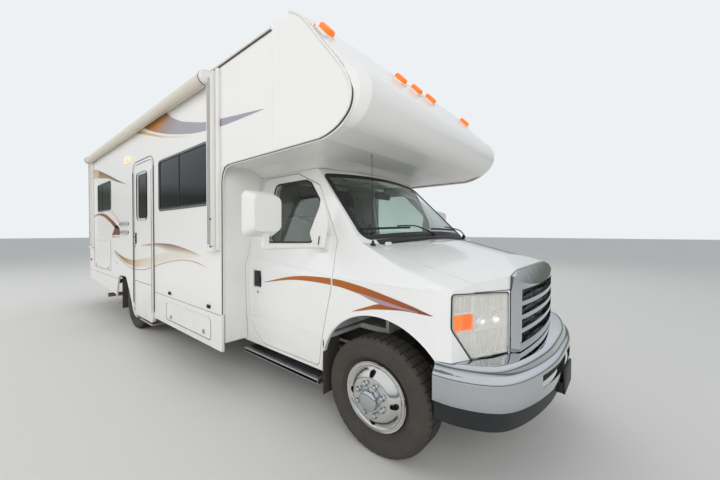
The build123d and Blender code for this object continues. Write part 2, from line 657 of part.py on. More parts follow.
# Engine cover in side view, outside and inside, from its foot at the firewall over the top to the cabin side
COVER_OUTSIDE = ((DESK[1], FLOOR_CAB_Z), (DESK[1], 1040), (-560, 1040), (-700, 950), (-760, FLOOR_CAB_Z))
COVER_FOOT = FLOOR_CAB_Z - 60
COVER_INSIDE = ((-100, COVER_FOOT), (-100, 1000), (-550, 1000), (-680, 920), (-735, COVER_FOOT))
with BuildPart() as dashboard:
    with BuildPart(mode=Mode.PRIVATE) as desk:
        add(cab_form(CAB_WALL + DESK_GAP))
        x0, x1, half, z0, z1 = DESK
        block(x0, x1, -half, half, z0, z1, mode=Mode.INTERSECT)
    add(desk.part)
    side_slab(COVER_OUTSIDE, -COVER_HALF, COVER_HALF)
    side_slab(COVER_INSIDE, COVER_WALL - COVER_HALF, COVER_HALF - COVER_WALL, mode=Mode.SUBTRACT)
    add(steering_wheel.part, mode=Mode.SUBTRACT)
write(dashboard, "dashboard")

SEAT_Y = 520
SEAT_TOP_Z = 860
# Half width and side outline of each part of a seat: cushion, back and head rest
SEAT_BOX = (-1290, -830, 190)
CUSHION = (250, ((-1330, SEAT_TOP_Z), (-800, SEAT_TOP_Z), (-770, 930), (-800, 985), (-1330, 960)))
BACKREST = (240, ((-1330, 940), (-1200, 940), (-1330, 1560), (-1440, 1560)))
HEADREST = (130, ((-1425, 1560), (-1340, 1560), (-1370, 1740), (-1440, 1740)))
with BuildPart() as cab_seats:
    for _, side in SIDES:
        middle = side * SEAT_Y
        x0, x1, half = SEAT_BOX
        block(x0, x1, middle - half, middle + half, FLOOR_CAB_Z, SEAT_TOP_Z)
        for half, outline in (CUSHION, BACKREST, HEADREST):
            side_slab(outline, middle - half, middle + half)
write(cab_seats, "cab_seats")

RUNNING_BOARD = (-1370, -440, 800, 1030, 322, 356)
BRACKET_XS = (-1210, -900)
BRACKET_WIDTH = 45
BRACKET_GAUGE = 15
rail_outer = RAIL_Y + RAIL_GAUGE
with BuildPart() as running_boards:
    x0, x1, y0, y1, z0, z1 = RUNNING_BOARD
    for _, side in SIDES:
        block(x0, x1, side * y0, side * y1, z0, z1)
        for arm_x in BRACKET_XS:
            block(arm_x, arm_x + BRACKET_WIDTH, side * rail_outer, side * (y0 + 40), z1 - 22, z1)
            block(arm_x, arm_x + BRACKET_WIDTH, side * rail_outer, side * (rail_outer + BRACKET_GAUGE), z1 - 22,
                  RAIL_TOP - 60)
write(running_boards, "running_boards")

# Chassis
CROSSMEMBERS = (500, -700, -1600, -2500, -3280, -4780, -5500, -6300)
CROSS_FOOT = RAIL_TOP - RAIL_GAUGE - 40
OUTRIGGERS = (-1700, -2450, -5000, -5800)
CROSS_WIDTH = 70
OUTRIGGER_WIDTH = 60
OUTRIGGER_Y = 1180
RISER_HALF = 30
BAY = (-2700, -1560, 392)
BAY_INNER_Y = 640
BAY_WALL = 15
RECEIVER_BORE = 51.2
RECEIVER_OUTER = 63.5
PIN_R = 8.1
PIN_X = REAR_END + 75
RECEIVER_Z = 470
rail_foot = RAIL_TOP - RAIL_HEIGHT
with BuildPart() as frame_rails:
    for _, side in SIDES:
        block(RAIL_REAR, RAIL_FRONT, side * RAIL_Y, side * rail_outer, rail_foot, RAIL_TOP)
        for z0 in (rail_foot, RAIL_TOP - RAIL_GAUGE):
            flange_y = side * (rail_outer - RAIL_FLANGE)
            block(RAIL_REAR, RAIL_FRONT, flange_y, side * rail_outer, z0, z0 + RAIL_GAUGE)
        block(RAIL_REAR, CAB_REAR - 6, side * (RAIL_Y - RISER_HALF), side * (RAIL_Y + RISER_HALF), RAIL_TOP,
              FLOOR_Z - FLOOR_THICK)
write(frame_rails, "frame_rails")

with BuildPart() as crossmembers:
    for x0 in CROSSMEMBERS:
        block(x0, x0 + CROSS_WIDTH, -RAIL_Y, RAIL_Y, CROSS_FOOT, RAIL_TOP - RAIL_GAUGE)
    for _, side in SIDES:
        for x0 in OUTRIGGERS:
            reach = BAY_INNER_Y - 1 if side < 0 and x0 > BAY[0] else OUTRIGGER_Y
            block(x0, x0 + OUTRIGGER_WIDTH, side * rail_outer, side * reach, RAIL_TOP - 60, RAIL_TOP)
write(crossmembers, "crossmembers")

ENGINE = (-530, 400, 220, 440, 950)
GEARBOX = (-1250, -530, 130, 430, 560)
with BuildPart() as engine:
    for x0, x1, half, z0, z1 in (ENGINE, GEARBOX):
        block(x0, x1, -half, half, z0, z1)
write(engine, "engine")

# Twin front beams as a half outline (y, z), with their coil springs and trailing arms
BEAM = ((20, 345), (300, 320), (700, 330), (700, 400), (300, 390), (20, 415))
BEAM_HALF = 45
EYE_FOOT = 336
EYE_TOP = 408
EYE_R = 34
COIL = (-20, 502, 395, 690, 55)
COIL_SEAT = (-90, 60, 560)
ARM_Y = 480
ARM_R = 22
ARM_REAR = (-760, 430)
with BuildPart() as front_axle:
    for _, side in SIDES:
        face_slab([(side * y, z) for y, z in BEAM], -BEAM_HALF, BEAM_HALF)
        block(-30, 30, side * 640, side * KINGPIN_Y, EYE_FOOT, EYE_TOP - 8)
        rod((0, side * KINGPIN_Y, EYE_FOOT), (0, side * KINGPIN_Y, EYE_TOP), EYE_R)
        x, y, z0, z1, radius = COIL
        rod((x, side * y, z0), (x, side * y, z1), radius)
        x0, x1, y1 = COIL_SEAT
        block(x0, x1, side * rail_outer, side * y1, z1 - 10, RAIL_TOP)
        rod((0, side * ARM_Y, 365), (ARM_REAR[0], side * ARM_Y, ARM_REAR[1]), ARM_R)
        block(ARM_REAR[0] - 40, ARM_REAR[0] + 20, side * rail_outer, side * (ARM_Y + 30), 400, 560)
write(front_axle, "front_axle")

SPRING_Y = 560
SPRING_HALF = 38
# Leaf spring in side view, as distances ahead of the rear axle and heights
SPRING_UNDER = ((-700, 560), (-560, 500), (-80, TYRE_R + 50), (80, TYRE_R + 50), (560, 500), (700, 560))
SPRING_OVER = ((690, 590), (540, 540), (80, TYRE_R + 110), (-80, TYRE_R + 110), (-540, 540), (-690, 590))
HANGERS = (-720, 660)
AXLE_TUBE_R = 55
AXLE_HALF = 640
DIFFERENTIAL_R = 165
SHAFT_R = 42
with BuildPart() as rear_axle:
    rod((-WHEELBASE, -AXLE_HALF, TYRE_R), (-WHEELBASE, AXLE_HALF, TYRE_R), AXLE_TUBE_R)
    with Locations((FRONT_AXLE_X - WHEELBASE, 0, TYRE_R)):
        Sphere(DIFFERENTIAL_R)
    rod((-WHEELBASE + 150, 0, TYRE_R + 10), (GEARBOX[0] - 5, 0, 520), SHAFT_R)
    leaf = [(x - WHEELBASE, z) for x, z in SPRING_UNDER + SPRING_OVER]
    for _, side in SIDES:
        side_slab(leaf, side * SPRING_Y - SPRING_HALF, side * SPRING_Y + SPRING_HALF)
        for hanger_x in HANGERS:
            x0 = hanger_x - WHEELBASE
            block(x0, x0 + 60, side * rail_outer, side * (SPRING_Y + SPRING_HALF), 545, RAIL_TOP)
write(rear_axle, "rear_axle")

EXHAUST_Z = 385
EXHAUST_Y = -300
EXHAUST_ROUTE = ((-1000, EXHAUST_Y, EXHAUST_Z), (-3380, EXHAUST_Y, EXHAUST_Z), (-3650, EXHAUST_Y, 520),
                 (-4380, EXHAUST_Y, 520), (-4700, EXHAUST_Y, EXHAUST_Z - 60),
                 (-5020, EXHAUST_Y - 40, EXHAUST_Z - 75), (-5330, -700, EXHAUST_Z - 80),
                 (-5480, -1190, EXHAUST_Z - 95))
PIPE_R = 35
MUFFLER = (-2250, -2950, 64)
PIPE_HANGERS = (-1560, -2470)
HANGER_HALF = 12
with BuildPart() as exhaust:
    for start, end in zip(EXHAUST_ROUTE, EXHAUST_ROUTE[1:]):
        rod(start, end, PIPE_R)
    x0, x1, radius = MUFFLER
    rod((x0, EXHAUST_Y, EXHAUST_Z), (x1, EXHAUST_Y, EXHAUST_Z), radius)
    for x0 in PIPE_HANGERS:
        block(x0, x0 + 25, EXHAUST_Y - HANGER_HALF, EXHAUST_Y + HANGER_HALF, EXHAUST_Z + 30, CROSS_FOOT)
write(exhaust, "exhaust")

WASTE_TANK = (-5960, -5100, -340, 340, 345, CROSS_FOOT)
FUEL_TANK = (-2445, -1645, 480, 1150, 400, RAIL_TOP - 60)
with BuildPart() as tanks:
    for tank in (WASTE_TANK, FUEL_TANK):
        block(*tank)
write(tanks, "tanks")


# Wheels. The rims are pressed steel under bright liners, drawn as a half section (along the axle, radius).
WELL_R = RIM_BEAD_R - 22
FACE_R = 118
FACE_THICK = 16
HAND_HOLES = 8
HAND_HOLE_R = 19
HAND_HOLE_CIRCLE_R = 152
NUTS = 8
NUT_R = 13
NUT_CIRCLE_R = 83
NUT_STANDOUT = 24
DRUM_R = 112
DRUM_DEPTH = 24


def around(count, radius, turn, axle_x):
    """Points (x, z) spaced evenly round a wheel's axle, the first one turned by so many steps."""
    angles = [2 * math.pi * (step + turn) / count for step in range(count)]
    return [(axle_x + radius * math.cos(angle), TYRE_R + radius * math.sin(angle)) for angle in angles]


def wheel_part(axle_x, middle_y, side, dish):
    """One rim with its liner; dish is how far the wheel's face stands out from the rim's middle."""
    plane = Plane(origin=(FRONT_AXLE_X + axle_x, middle_y, TYRE_R), x_dir=(0, side, 0), z_dir=(side, 0, 0))
    axis = Axis((FRONT_AXLE_X + axle_x, middle_y, TYRE_R), (0, 1, 0))
    with BuildPart() as wheel:
        with BuildSketch(plane) as section:
            with BuildLine():
                barrel = ((-RIM_HALF_WIDTH, RIM_LIP_R), (-RIM_HALF_WIDTH + 14, RIM_BEAD_R),
                          (-40, RIM_BEAD_R - 6), (-20, WELL_R), (34, WELL_R), (48, RIM_BEAD_R - 6),
                          (RIM_HALF_WIDTH - 14, RIM_BEAD_R), (RIM_HALF_WIDTH, RIM_LIP_R))
                liner = ((RIM_HALF_WIDTH + 6, RIM_LIP_R - 2), (RIM_HALF_WIDTH - 4, RIM_BEAD_R - 12),
                         (dish - 22, 150), (dish - 4, 132), (dish, FACE_R), (dish, HUB_R))
                inside = ((dish - FACE_THICK, HUB_R), (dish - FACE_THICK, FACE_R + 4), (38, WELL_R - 12),
                          (-24, WELL_R - 10), (-46, RIM_BEAD_R - 14), (-RIM_HALF_WIDTH + 10, RIM_BEAD_R - 9),
                          (-RIM_HALF_WIDTH - 5, RIM_LIP_R - 6))
                Polyline(*barrel, *liner, *inside, close=True)
            make_face()
        revolve(section.sketch, axis=axis)
        for x, z in around(HAND_HOLES, HAND_HOLE_CIRCLE_R, 0.5, axle_x):
            rod((x, middle_y, z), (x, middle_y + side * 200, z), HAND_HOLE_R, mode=Mode.SUBTRACT)
    return wheel.part


def hub_part(axle_x, middle_y, side, dish, depth, nose):
    """The hub behind a wheel's face, with its cap and eight nuts."""
    face_y = middle_y + side * dish
    with BuildPart() as hub:
        rod((axle_x, face_y - side * depth, TYRE_R), (axle_x, face_y + side * nose, TYRE_R), HUB_R + 0.5)
        back_y = face_y - side * FACE_THICK
        rod((axle_x, back_y - side * DRUM_DEPTH, TYRE_R), (axle_x, back_y, TYRE_R), DRUM_R)
        for x, z in around(NUTS, NUT_CIRCLE_R, 0, axle_x):
            rod((x, back_y - side, z), (x, face_y + side * NUT_STANDOUT, z), NUT_R)
    return hub.part


SHOULDER = 24
BEAD_GAP = 0.4
GROOVE_PITCH = 46
GROOVE_DEPTH = 9


def tyre_part(axle_x, middle_y):
    """One tyre, its bead seated on the rim with a hair of clearance, and its tread grooved all round."""
    plane = Plane(origin=(FRONT_AXLE_X + axle_x, middle_y, TYRE_R), x_dir=(0, 1, 0), z_dir=(-1, 0, 0))
    axis = Axis((FRONT_AXLE_X + axle_x, middle_y, TYRE_R), (0, 1, 0))
    half = TYRE_WIDTH / 2
    tread_half = half - SHOULDER
    bead = RIM_BEAD_R + BEAD_GAP
    outline = [(-66, bead), (-66, bead + 34), (-half + 12, bead + 78), (-half + 14, TYRE_R - 46),
               (-tread_half + 6, TYRE_R - 20)]
    inner_line = outline + [(-x, r) for x, r in reversed(outline)]
    outer = [(-74, RIM_LIP_R + 3), (-half + 4, RIM_LIP_R + 34), (-half, RIM_LIP_R + 70),
             (-half + 5, TYRE_R - 36), (-tread_half - 6, TYRE_R - 8), (-tread_half + 8, TYRE_R - 1)]
    grooves = []
    for groove_y in (-GROOVE_PITCH, 0, GROOVE_PITCH):
        grooves += [(groove_y - 6, TYRE_R), (groove_y - 4, TYRE_R - GROOVE_DEPTH),
                    (groove_y + 4, TYRE_R - GROOVE_DEPTH), (groove_y + 6, TYRE_R)]
    outer_line = [(-70, bead)] + outer + grooves + [(-x, r) for x, r in reversed(outer)] + [(70, bead)]
    with BuildPart() as tyre:
        with BuildSketch(plane) as section:
            with BuildLine():
                Polyline(*outer_line, *reversed(inner_line), close=True)
            make_face()
        revolve(section.sketch, axis=axis)
    return tyre.part


FRONT_DISH = 100
DUAL_DISH = (REAR_OUTER_Y - REAR_INNER_Y - FACE_THICK) / 2
LUG_THICK = 32
LUG_GAP = 6
LUG_R = 32
YOKE_REACH = 80
SPINDLE_R = 40
LOWER_LUG_Z = (EYE_FOOT - LUG_GAP - LUG_THICK, EYE_FOOT - LUG_GAP)
UPPER_LUG_Z = (EYE_TOP + LUG_GAP, EYE_TOP + LUG_GAP + LUG_THICK)
STEER_ARM_R = 13
for hand, side in SIDES:
    with BuildPart() as front_rim:
        add(wheel_part(0, side * FRONT_WHEEL_Y, side, FRONT_DISH))
        add(hub_part(0, side * FRONT_WHEEL_Y, side, FRONT_DISH, 90, 32))
    write(front_rim, f"front_rim_{hand}")
    with BuildPart() as front_tyre:
        add(tyre_part(0, side * FRONT_WHEEL_Y))
    write(front_tyre, f"front_tyre_{hand}")
    with BuildPart() as knuckle:
        yoke_y = KINGPIN_Y + YOKE_REACH
        for z0, z1 in (LOWER_LUG_Z, UPPER_LUG_Z):
            rod((0, side * KINGPIN_Y, z0), (0, side * KINGPIN_Y, z1), LUG_R)
            block(-28, 28, side * KINGPIN_Y, side * yoke_y, z0, z1)
        block(-46, 46, side * (yoke_y - 32), side * yoke_y, LOWER_LUG_Z[0], UPPER_LUG_Z[1])
        rod((0, side * (yoke_y - 20), TYRE_R), (0, side * (FRONT_WHEEL_Y + FRONT_DISH - 96), TYRE_R), SPINDLE_R)
        arm_z = LOWER_LUG_Z[0] + 14
        rod((0, side * KINGPIN_Y, arm_z), (-150, side * (KINGPIN_Y - 30), arm_z), STEER_ARM_R)
    write(knuckle, f"knuckle_{hand}")
    with BuildPart() as rear_rims:
        add(wheel_part(-WHEELBASE, side * REAR_OUTER_Y, -side, DUAL_DISH))
        add(wheel_part(-WHEELBASE, side * REAR_INNER_Y, side, DUAL_DISH))
        add(hub_part(-WHEELBASE, side * REAR_OUTER_Y, side, -DUAL_DISH, 190, 110))
    write(rear_rims, f"rear_rims_{hand}")
    with BuildPart() as rear_tyres:
        add(tyre_part(-WHEELBASE, side * REAR_OUTER_Y))
        add(tyre_part(-WHEELBASE, side * REAR_INNER_Y))
    write(rear_tyres, f"rear_tyres_{hand}")

# Coach walls with their openings, as (x0, x1, z0, z1, corner)
ENTRY_DOOR = (-3782, -3063, 268, 2345, 95)
WINDOWS = {
    "right": ((-2865, -1634, 1671, 2276, 60), (-5881, -4970, 1789, 2290, 60)),
    "left": ((-3050, -1750, 1671, 2276, 60), (-5881, -4970, 1671, 2276, 60), (-4300, -3650, 1850, 2276, 60)),
}
HATCHES = {
    "hatch_front_right": ("right", (-2660, -1600, 414, 622, 30)),
    "hatch_rear_right": ("right", (-6187, -5020, 770, 1290, 50)),
    "hatch_left": ("left", (-6187, -5020, 770, 1290, 50)),
}
ARCH_OUTLINE = ((-4740, 330), (-4590, 690), (-4500, 752), (-4190, 752), (-4040, 560), (-3880, 330))
HATCH_GAP = 5
HATCH_THICK = 25
MIN_CORNER = 4
OVERCAB_CORNER_R = 90
SKIRT_REAR_Z = 500
SKIRT_OUTLINE = ((COACH_REAR, WALL_FOOT_Z), (COACH_REAR, SKIRT_REAR_Z), (-4740, 420), (-4740, SKIRT_FOOT_Z),
                 (COACH_FRONT, SKIRT_FOOT_Z), (COACH_FRONT, WALL_FOOT_Z))


def opening(spec, margin):
    """An opening's outline in side view, grown by a margin."""
    x0, x1, z0, z1, corner = spec
    with BuildSketch(SIDE) as outline:
        with Locations(((x0 + x1) / 2, (z0 + z1) / 2)):
            RectangleRounded(x1 - x0 + 2 * margin, z1 - z0 + 2 * margin, max(corner + margin, MIN_CORNER))
    return outline.sketch


def cut_opening(spec, margin, side):
    """Cut an opening through the wall or skirt of one side."""
    extrude(opening(spec, margin), amount=side * (HALF_WIDTH + 60), dir=(0, 1, 0), mode=Mode.SUBTRACT)


def trim_inboard(half):
    """Cut away whatever lies nearer the middle of the coach than half."""
    block(-LONG_REACH, 0, -half, half, 0, REACH, mode=Mode.SUBTRACT)


for hand, side in SIDES:
    with BuildPart() as wall:
        inner_y, outer_y = side * (HALF_WIDTH - WALL), side * HALF_WIDTH
        with BuildSketch(SIDE.offset(-min(inner_y, outer_y))) as wall_outline:
            with BuildLine():
                wall_top = ROOF_Z - ROOF_THICK
                Polyline((COACH_REAR, WALL_FOOT_Z), (COACH_REAR, wall_top), (CAP_SEAM_X, wall_top),
                         (CAP_SEAM_X, OVERCAB_Z), (COACH_FRONT, OVERCAB_Z), (COACH_FRONT, WALL_FOOT_Z),
                         close=True)
            make_face()
            fillet(wall_outline.vertices().sort_by_distance((COACH_FRONT, OVERCAB_Z))[0], OVERCAB_CORNER_R)
        extrude(wall_outline.sketch, amount=WALL, dir=(0, 1, 0))
        for spec in WINDOWS[hand]:
            cut_opening(spec, 0, side)
        for hatch_hand, spec in HATCHES.values():
            if hatch_hand == hand:
                cut_opening(spec, HATCH_GAP, side)
        if hand == "right":
            cut_opening(ENTRY_DOOR, HATCH_GAP, side)
        side_slab(ARCH_OUTLINE, -REACH, REACH, mode=Mode.SUBTRACT)
    write(wall, f"wall_{hand}")

with BuildPart() as coach_skirts:
    for hand, side in SIDES:
        with BuildPart(mode=Mode.PRIVATE) as skirt:
            inner_y, outer_y = side * (HALF_WIDTH - SKIRT), side * HALF_WIDTH
            side_slab(SKIRT_OUTLINE, min(inner_y, outer_y), max(inner_y, outer_y))
            side_slab(ARCH_OUTLINE, -REACH, REACH, mode=Mode.SUBTRACT)
            for hatch_hand, spec in HATCHES.values():
                if hatch_hand == hand:
                    cut_opening(spec, HATCH_GAP, side)
            if hand == "right":
                cut_opening(ENTRY_DOOR, HATCH_GAP, side)
        add(skirt.part)
write(coach_skirts, "coach_skirts")

REAR_WINDOW = (-420, 420, 1700, 2200)
REAR_FOOT_Z = 650
with BuildPart() as wall_rear:
    inner_half = HALF_WIDTH - WALL
    block(COACH_REAR, COACH_REAR + WALL, -inner_half, inner_half, REAR_FOOT_Z, ROOF_Z - ROOF_THICK)
    y0, y1, z0, z1 = REAR_WINDOW
    block(COACH_REAR - 5, COACH_REAR + WALL + 5, y0, y1, z0, z1, mode=Mode.SUBTRACT)
write(wall_rear, "wall_rear")

CROWN = 14
ROOF_EDGE = 24
with BuildPart() as coach_roof:
    with BuildSketch(face_at(COACH_REAR)) as roof_section:
        with BuildLine():
            edge = ((HALF_WIDTH, ROOF_Z - ROOF_THICK), (HALF_WIDTH, ROOF_Z - ROOF_EDGE),
                    (HALF_WIDTH - ROOF_EDGE, ROOF_Z))
            far_edge = [(-y, z) for y, z in edge]
            Polyline(*edge)
            ThreePointArc(edge[-1], (0, ROOF_Z + CROWN), far_edge[-1])
            Polyline(*reversed(far_edge))
            Line(far_edge[0], edge[0])
        make_face()
    extrude(roof_section.sketch, amount=CAP_SEAM_X - COACH_REAR, dir=(1, 0, 0))
write(coach_roof, "coach_roof")

STEP_WELL = (-3585, -3075, 275)
STEP_WELL_WALL = 18
WELL_DEPTH = 420
TREAD_DEPTH = 200
TREAD_RISE = 270
STEP_ARMS = (-3545, -3145)
WHEEL_BOX_WALL = 20
WHEEL_BOX_Y = 620
BACK_WALL = 34
CAB_HOLE_HALF = 1004
with BuildPart() as coach_floor:
    inner_half = HALF_WIDTH - WALL
    floor_foot = FLOOR_Z - FLOOR_THICK
    block(COACH_REAR + WALL, COACH_FRONT - BACK_WALL, -inner_half, inner_half, floor_foot, FLOOR_Z)
    half = CAB_HOLE_HALF
    block(CAB_REAR - 1, COACH_FRONT, -half, half, floor_foot - 5, FLOOR_Z + 5, mode=Mode.SUBTRACT)
    x0, x1 = -WHEELBASE - WELL_HALF, -WHEELBASE + WELL_HALF - 25
    gauge = WHEEL_BOX_WALL
    for _, side in SIDES:
        block(x0, x1, side * WHEEL_BOX_Y, side * inner_half, floor_foot, WELL_TOP_Z)
        block(x0 + gauge, x1 - gauge, side * (WHEEL_BOX_Y + gauge), side * (inner_half + 5), floor_foot - 5,
              WELL_TOP_Z - gauge, mode=Mode.SUBTRACT)
    x0, x1, z0 = STEP_WELL
    inner_y = -inner_half + WELL_DEPTH
    gauge = STEP_WELL_WALL
    block(x0, x1, 4 - inner_half, inner_y, z0, FLOOR_Z)
    block(x0 + gauge, x1 - gauge, -inner_half - 10, inner_y - gauge, z0 + gauge, FLOOR_Z + 5,
          mode=Mode.SUBTRACT)
    block(x0 + 5, x1 - 5, inner_y - TREAD_DEPTH, inner_y - 5, z0 + gauge, z0 + TREAD_RISE)
    for arm_x in STEP_ARMS:
        block(arm_x + 36, arm_x + 44, -990, inner_y + 12, 236, z0 + 5)
write(coach_floor, "coach_floor")

# Front wall of the coach round the cab, and the bunk's floor with the moulding that meets the cab's roof
CAB_CLEAR = 4
FRONT_WALL_FOOT = 430
BUNK_OPENING = (-1470, -980, 620)
MOULDING_FOOT = (-1040, 860, 1600)
MOULDING_HEAD = (-1000, 1000, 1880)
MOULDING_CORNER_R = 90
with BuildPart() as cab_surround:
    inner_half = HALF_WIDTH - WALL
    block(COACH_FRONT - BACK_WALL, COACH_FRONT, -inner_half, inner_half, FRONT_WALL_FOOT, OVERCAB_Z)
    block(COACH_FRONT - BACK_WALL, CAP_SEAM_X, -inner_half, inner_half, OVERCAB_Z, OVERCAB_Z + WALL)
    with BuildPart(mode=Mode.PRIVATE) as moulding:
        for z, (middle_x, length, width) in ((CAB_ROOF_Z + 2, MOULDING_FOOT), (OVERCAB_Z, MOULDING_HEAD)):
            with BuildSketch(TOP.offset(z)):
                with Locations((middle_x, 0)):
                    RectangleRounded(length, width, MOULDING_CORNER_R)
        loft()
    add(moulding.part)
    rise = [(half + CAB_CLEAR, z) for half, z in CAB_SECTION]
    rise[0] = (rise[0][0], FRONT_WALL_FOOT - 130)
    hole = rise + [(-half, z) for half, z in reversed(rise)]
    face_slab(hole, CAB_REAR - 10, COACH_FRONT + 30, mode=Mode.SUBTRACT)
    x0, x1, half = BUNK_OPENING
    block(x0, x1, -half, half, CAB_ROOF_Z - 20, OVERCAB_Z + 100, mode=Mode.SUBTRACT)
write(cab_surround, "cab_surround")

# Overcab cap: side outline at the flat side, bulge of its face ahead of that outline
CAP_TOP_Z = 2915
CAP_SLOPE = ((-500, CAP_TOP_Z), (-372, 2818), (-40, 2382))
CAP_NOSE = (25, 2212)
CAP_UNDER = (-222, OVERCAB_Z)
CAP_LOW = (-75, 2060)
CAP_BULGE = 80
CAP_JOINT = 30
BULGE_STEPS = ((0, 0), (24, 42), (85, CAP_BULGE))


def cap_form(inset):
    """The cap's closed form: the same outline drawn at a few stations across, its nose fuller inboard."""
    sections = []
    for back, bulge in BULGE_STEPS:
        top_z = CAP_TOP_Z - inset
        scale = bulge / CAP_BULGE
        (x0, _), (x1, z1), (x2, z2) = CAP_SLOPE
        start = (CAP_SEAM_X - CAP_JOINT, top_z)
        top = (x0 + 10 * scale - inset * 0.5, top_z)
        slope_high = (x1 + 16 * scale - inset * 0.75, z1 + 10 * scale - inset * 0.66)
        slope_low = (x2 + 50 * scale - inset * 0.8, z2 + 24 * scale - inset * 0.6)
        nose = (CAP_NOSE[0] + bulge - inset, CAP_NOSE[1])
        low = (CAP_LOW[0] + bulge * 0.5 - inset * 0.6, CAP_LOW[1] - 14 * scale + inset * 0.8)
        under = (CAP_UNDER[0] + 20 * scale - inset * 0.3, CAP_UNDER[1] + inset)
        end = (CAP_SEAM_X - CAP_JOINT, OVERCAB_Z + inset)
        y = HALF_WIDTH - back - (inset if back < WALL else 0)
        sections.append((y, (start, top, slope_high, slope_low, nose, low, under, end)))
    stations = sections + [(-y, points) for y, points in reversed(sections)]
    faces = []
    for y, points in stations:
        start, top, slope_high, slope_low, nose, low, under, end = points
        with BuildSketch(SIDE.offset(-y)) as section:
            with BuildLine():
                Line(start, top)
                Line(top, slope_high)
                Line(slope_high, slope_low)
                ThreePointArc(slope_low, nose, low)
                Line(low, under)
                Line(under, end)
                Line(end, start)
            make_face()
        faces.append(section.sketch)
    with BuildPart() as form:
        loft(faces, ruled=True)
    return form.part


with BuildPart() as overcab_cap:
    add(cap_form(0))
    add(cap_form(WALL), mode=Mode.SUBTRACT)
    block(-REACH, CAP_SEAM_X, -REACH, REACH, 0, REACH, mode=Mode.SUBTRACT)
write(overcab_cap, "overcab_cap")

# Window frames and glass
FRAME_LIP = 22
FRAME_PROUD = 6
PANE_GAP = 0.2
PANE_SETBACK = 6
with BuildPart() as window_frames:
    for hand, side in SIDES:
        for spec in WINDOWS[hand]:
            with BuildPart(mode=Mode.PRIVATE) as frame:
                extrude(opening(spec, -1), amount=side * (HALF_WIDTH + FRAME_PROUD), dir=(0, 1, 0))
                cut_opening(spec, -FRAME_LIP, side)
                trim_inboard(HALF_WIDTH - WALL)
            add(frame.part)
    y0, y1, z0, z1 = REAR_WINDOW
    block(COACH_REAR - FRAME_PROUD, COACH_REAR + WALL, y0 + 1, y1 - 1, z0 + 1, z1 - 1)
    lip = FRAME_LIP
    block(COACH_REAR - 60, COACH_REAR + WALL + 5, y0 + lip, y1 - lip, z0 + lip, z1 - lip, mode=Mode.SUBTRACT)
write(window_frames, "window_frames")

with BuildPart() as coach_glass:
    for hand, side in SIDES:
        for spec in WINDOWS[hand]:
            with BuildPart(mode=Mode.PRIVATE) as pane:
                pane_y = HALF_WIDTH - PANE_SETBACK
                extrude(opening(spec, -FRAME_LIP - PANE_GAP), amount=side * pane_y, dir=(0, 1, 0))
                trim_inboard(pane_y - GLASS)
            add(pane.part)
    y0, y1, z0, z1 = REAR_WINDOW
    x0 = COACH_REAR + PANE_SETBACK
    block(x0, x0 + GLASS, y0 + FRAME_LIP, y1 - FRAME_LIP, z0 + FRAME_LIP, z1 - FRAME_LIP)
write(coach_glass, "coach_glass")

# Entry door, its glass and the step that slides out under it
ENTRY_GLASS = (-3629, -3282, 1607, 2199, 45)
ENTRY_GLASS_SETBACK = 8
ENTRY_HINGE = (380, 2230)
ENTRY_HINGE_R = 8
ENTRY_GRIP = (-3745, -3705, 1270, 1400)
ENTRY_GRIP_DEPTH = 16
STEP_PLATE = (-3560, -3100, -1000, 232, 258)
STEP_ARM = (30, -1005, -540, 240, 256)
HINGE_STRIP_THICK = 6
HINGE_STRIP_HEIGHT = 16
HINGE_R = 5.5
with BuildPart() as entry_door:
    with BuildPart(mode=Mode.PRIVATE) as leaf:
        extrude(opening(ENTRY_DOOR, 0), amount=-HALF_WIDTH, dir=(0, 1, 0))
        trim_inboard(HALF_WIDTH - DOOR_LEAF)
        extrude(opening(ENTRY_GLASS, 0), amount=-HALF_WIDTH - 10, dir=(0, 1, 0), mode=Mode.SUBTRACT)
    add(leaf.part)
    hinge = (ENTRY_DOOR[1] - 2, -HALF_WIDTH - 6)
    rod((*hinge, ENTRY_HINGE[0]), (*hinge, ENTRY_HINGE[1]), ENTRY_HINGE_R)
    x0, x1, z0, z1 = ENTRY_GRIP
    block(x0, x1, -HALF_WIDTH - ENTRY_GRIP_DEPTH, -HALF_WIDTH, z0, z1)
write(entry_door, "entry_door")

with BuildPart() as entry_door_glass:
    extrude(opening(ENTRY_GLASS, -PANE_GAP), amount=-(HALF_WIDTH - ENTRY_GLASS_SETBACK), dir=(0, 1, 0))
    trim_inboard(HALF_WIDTH - ENTRY_GLASS_SETBACK - GLASS)
write(entry_door_glass, "entry_door_glass")

with BuildPart() as entry_step:
    x0, x1, y1, z0, z1 = STEP_PLATE
    block(x0, x1, -HALF_WIDTH - 4, y1, z0, z1)
    width, y0, y1, z0, z1 = STEP_ARM
    for x0 in STEP_ARMS:
        block(x0, x0 + width, y0, y1, z0, z1)
write(entry_step, "entry_step")

for name, (hand, spec) in HATCHES.items():
    side = dict(SIDES)[hand]
    with BuildPart() as hatch:
        extrude(opening(spec, 0), amount=side * HALF_WIDTH, dir=(0, 1, 0))
        trim_inboard(HALF_WIDTH - HATCH_THICK)
        x0, x1, _, top_z, corner = spec
        strip_y = side * (HALF_WIDTH + HINGE_STRIP_THICK)
        block(x0 + corner, x1 - corner, side * HALF_WIDTH, strip_y, top_z - HINGE_STRIP_HEIGHT, top_z)
        rod((x0 + corner, strip_y, top_z + 1), (x1 - corner, strip_y, top_z + 1), HINGE_R)
    write(hatch, name)

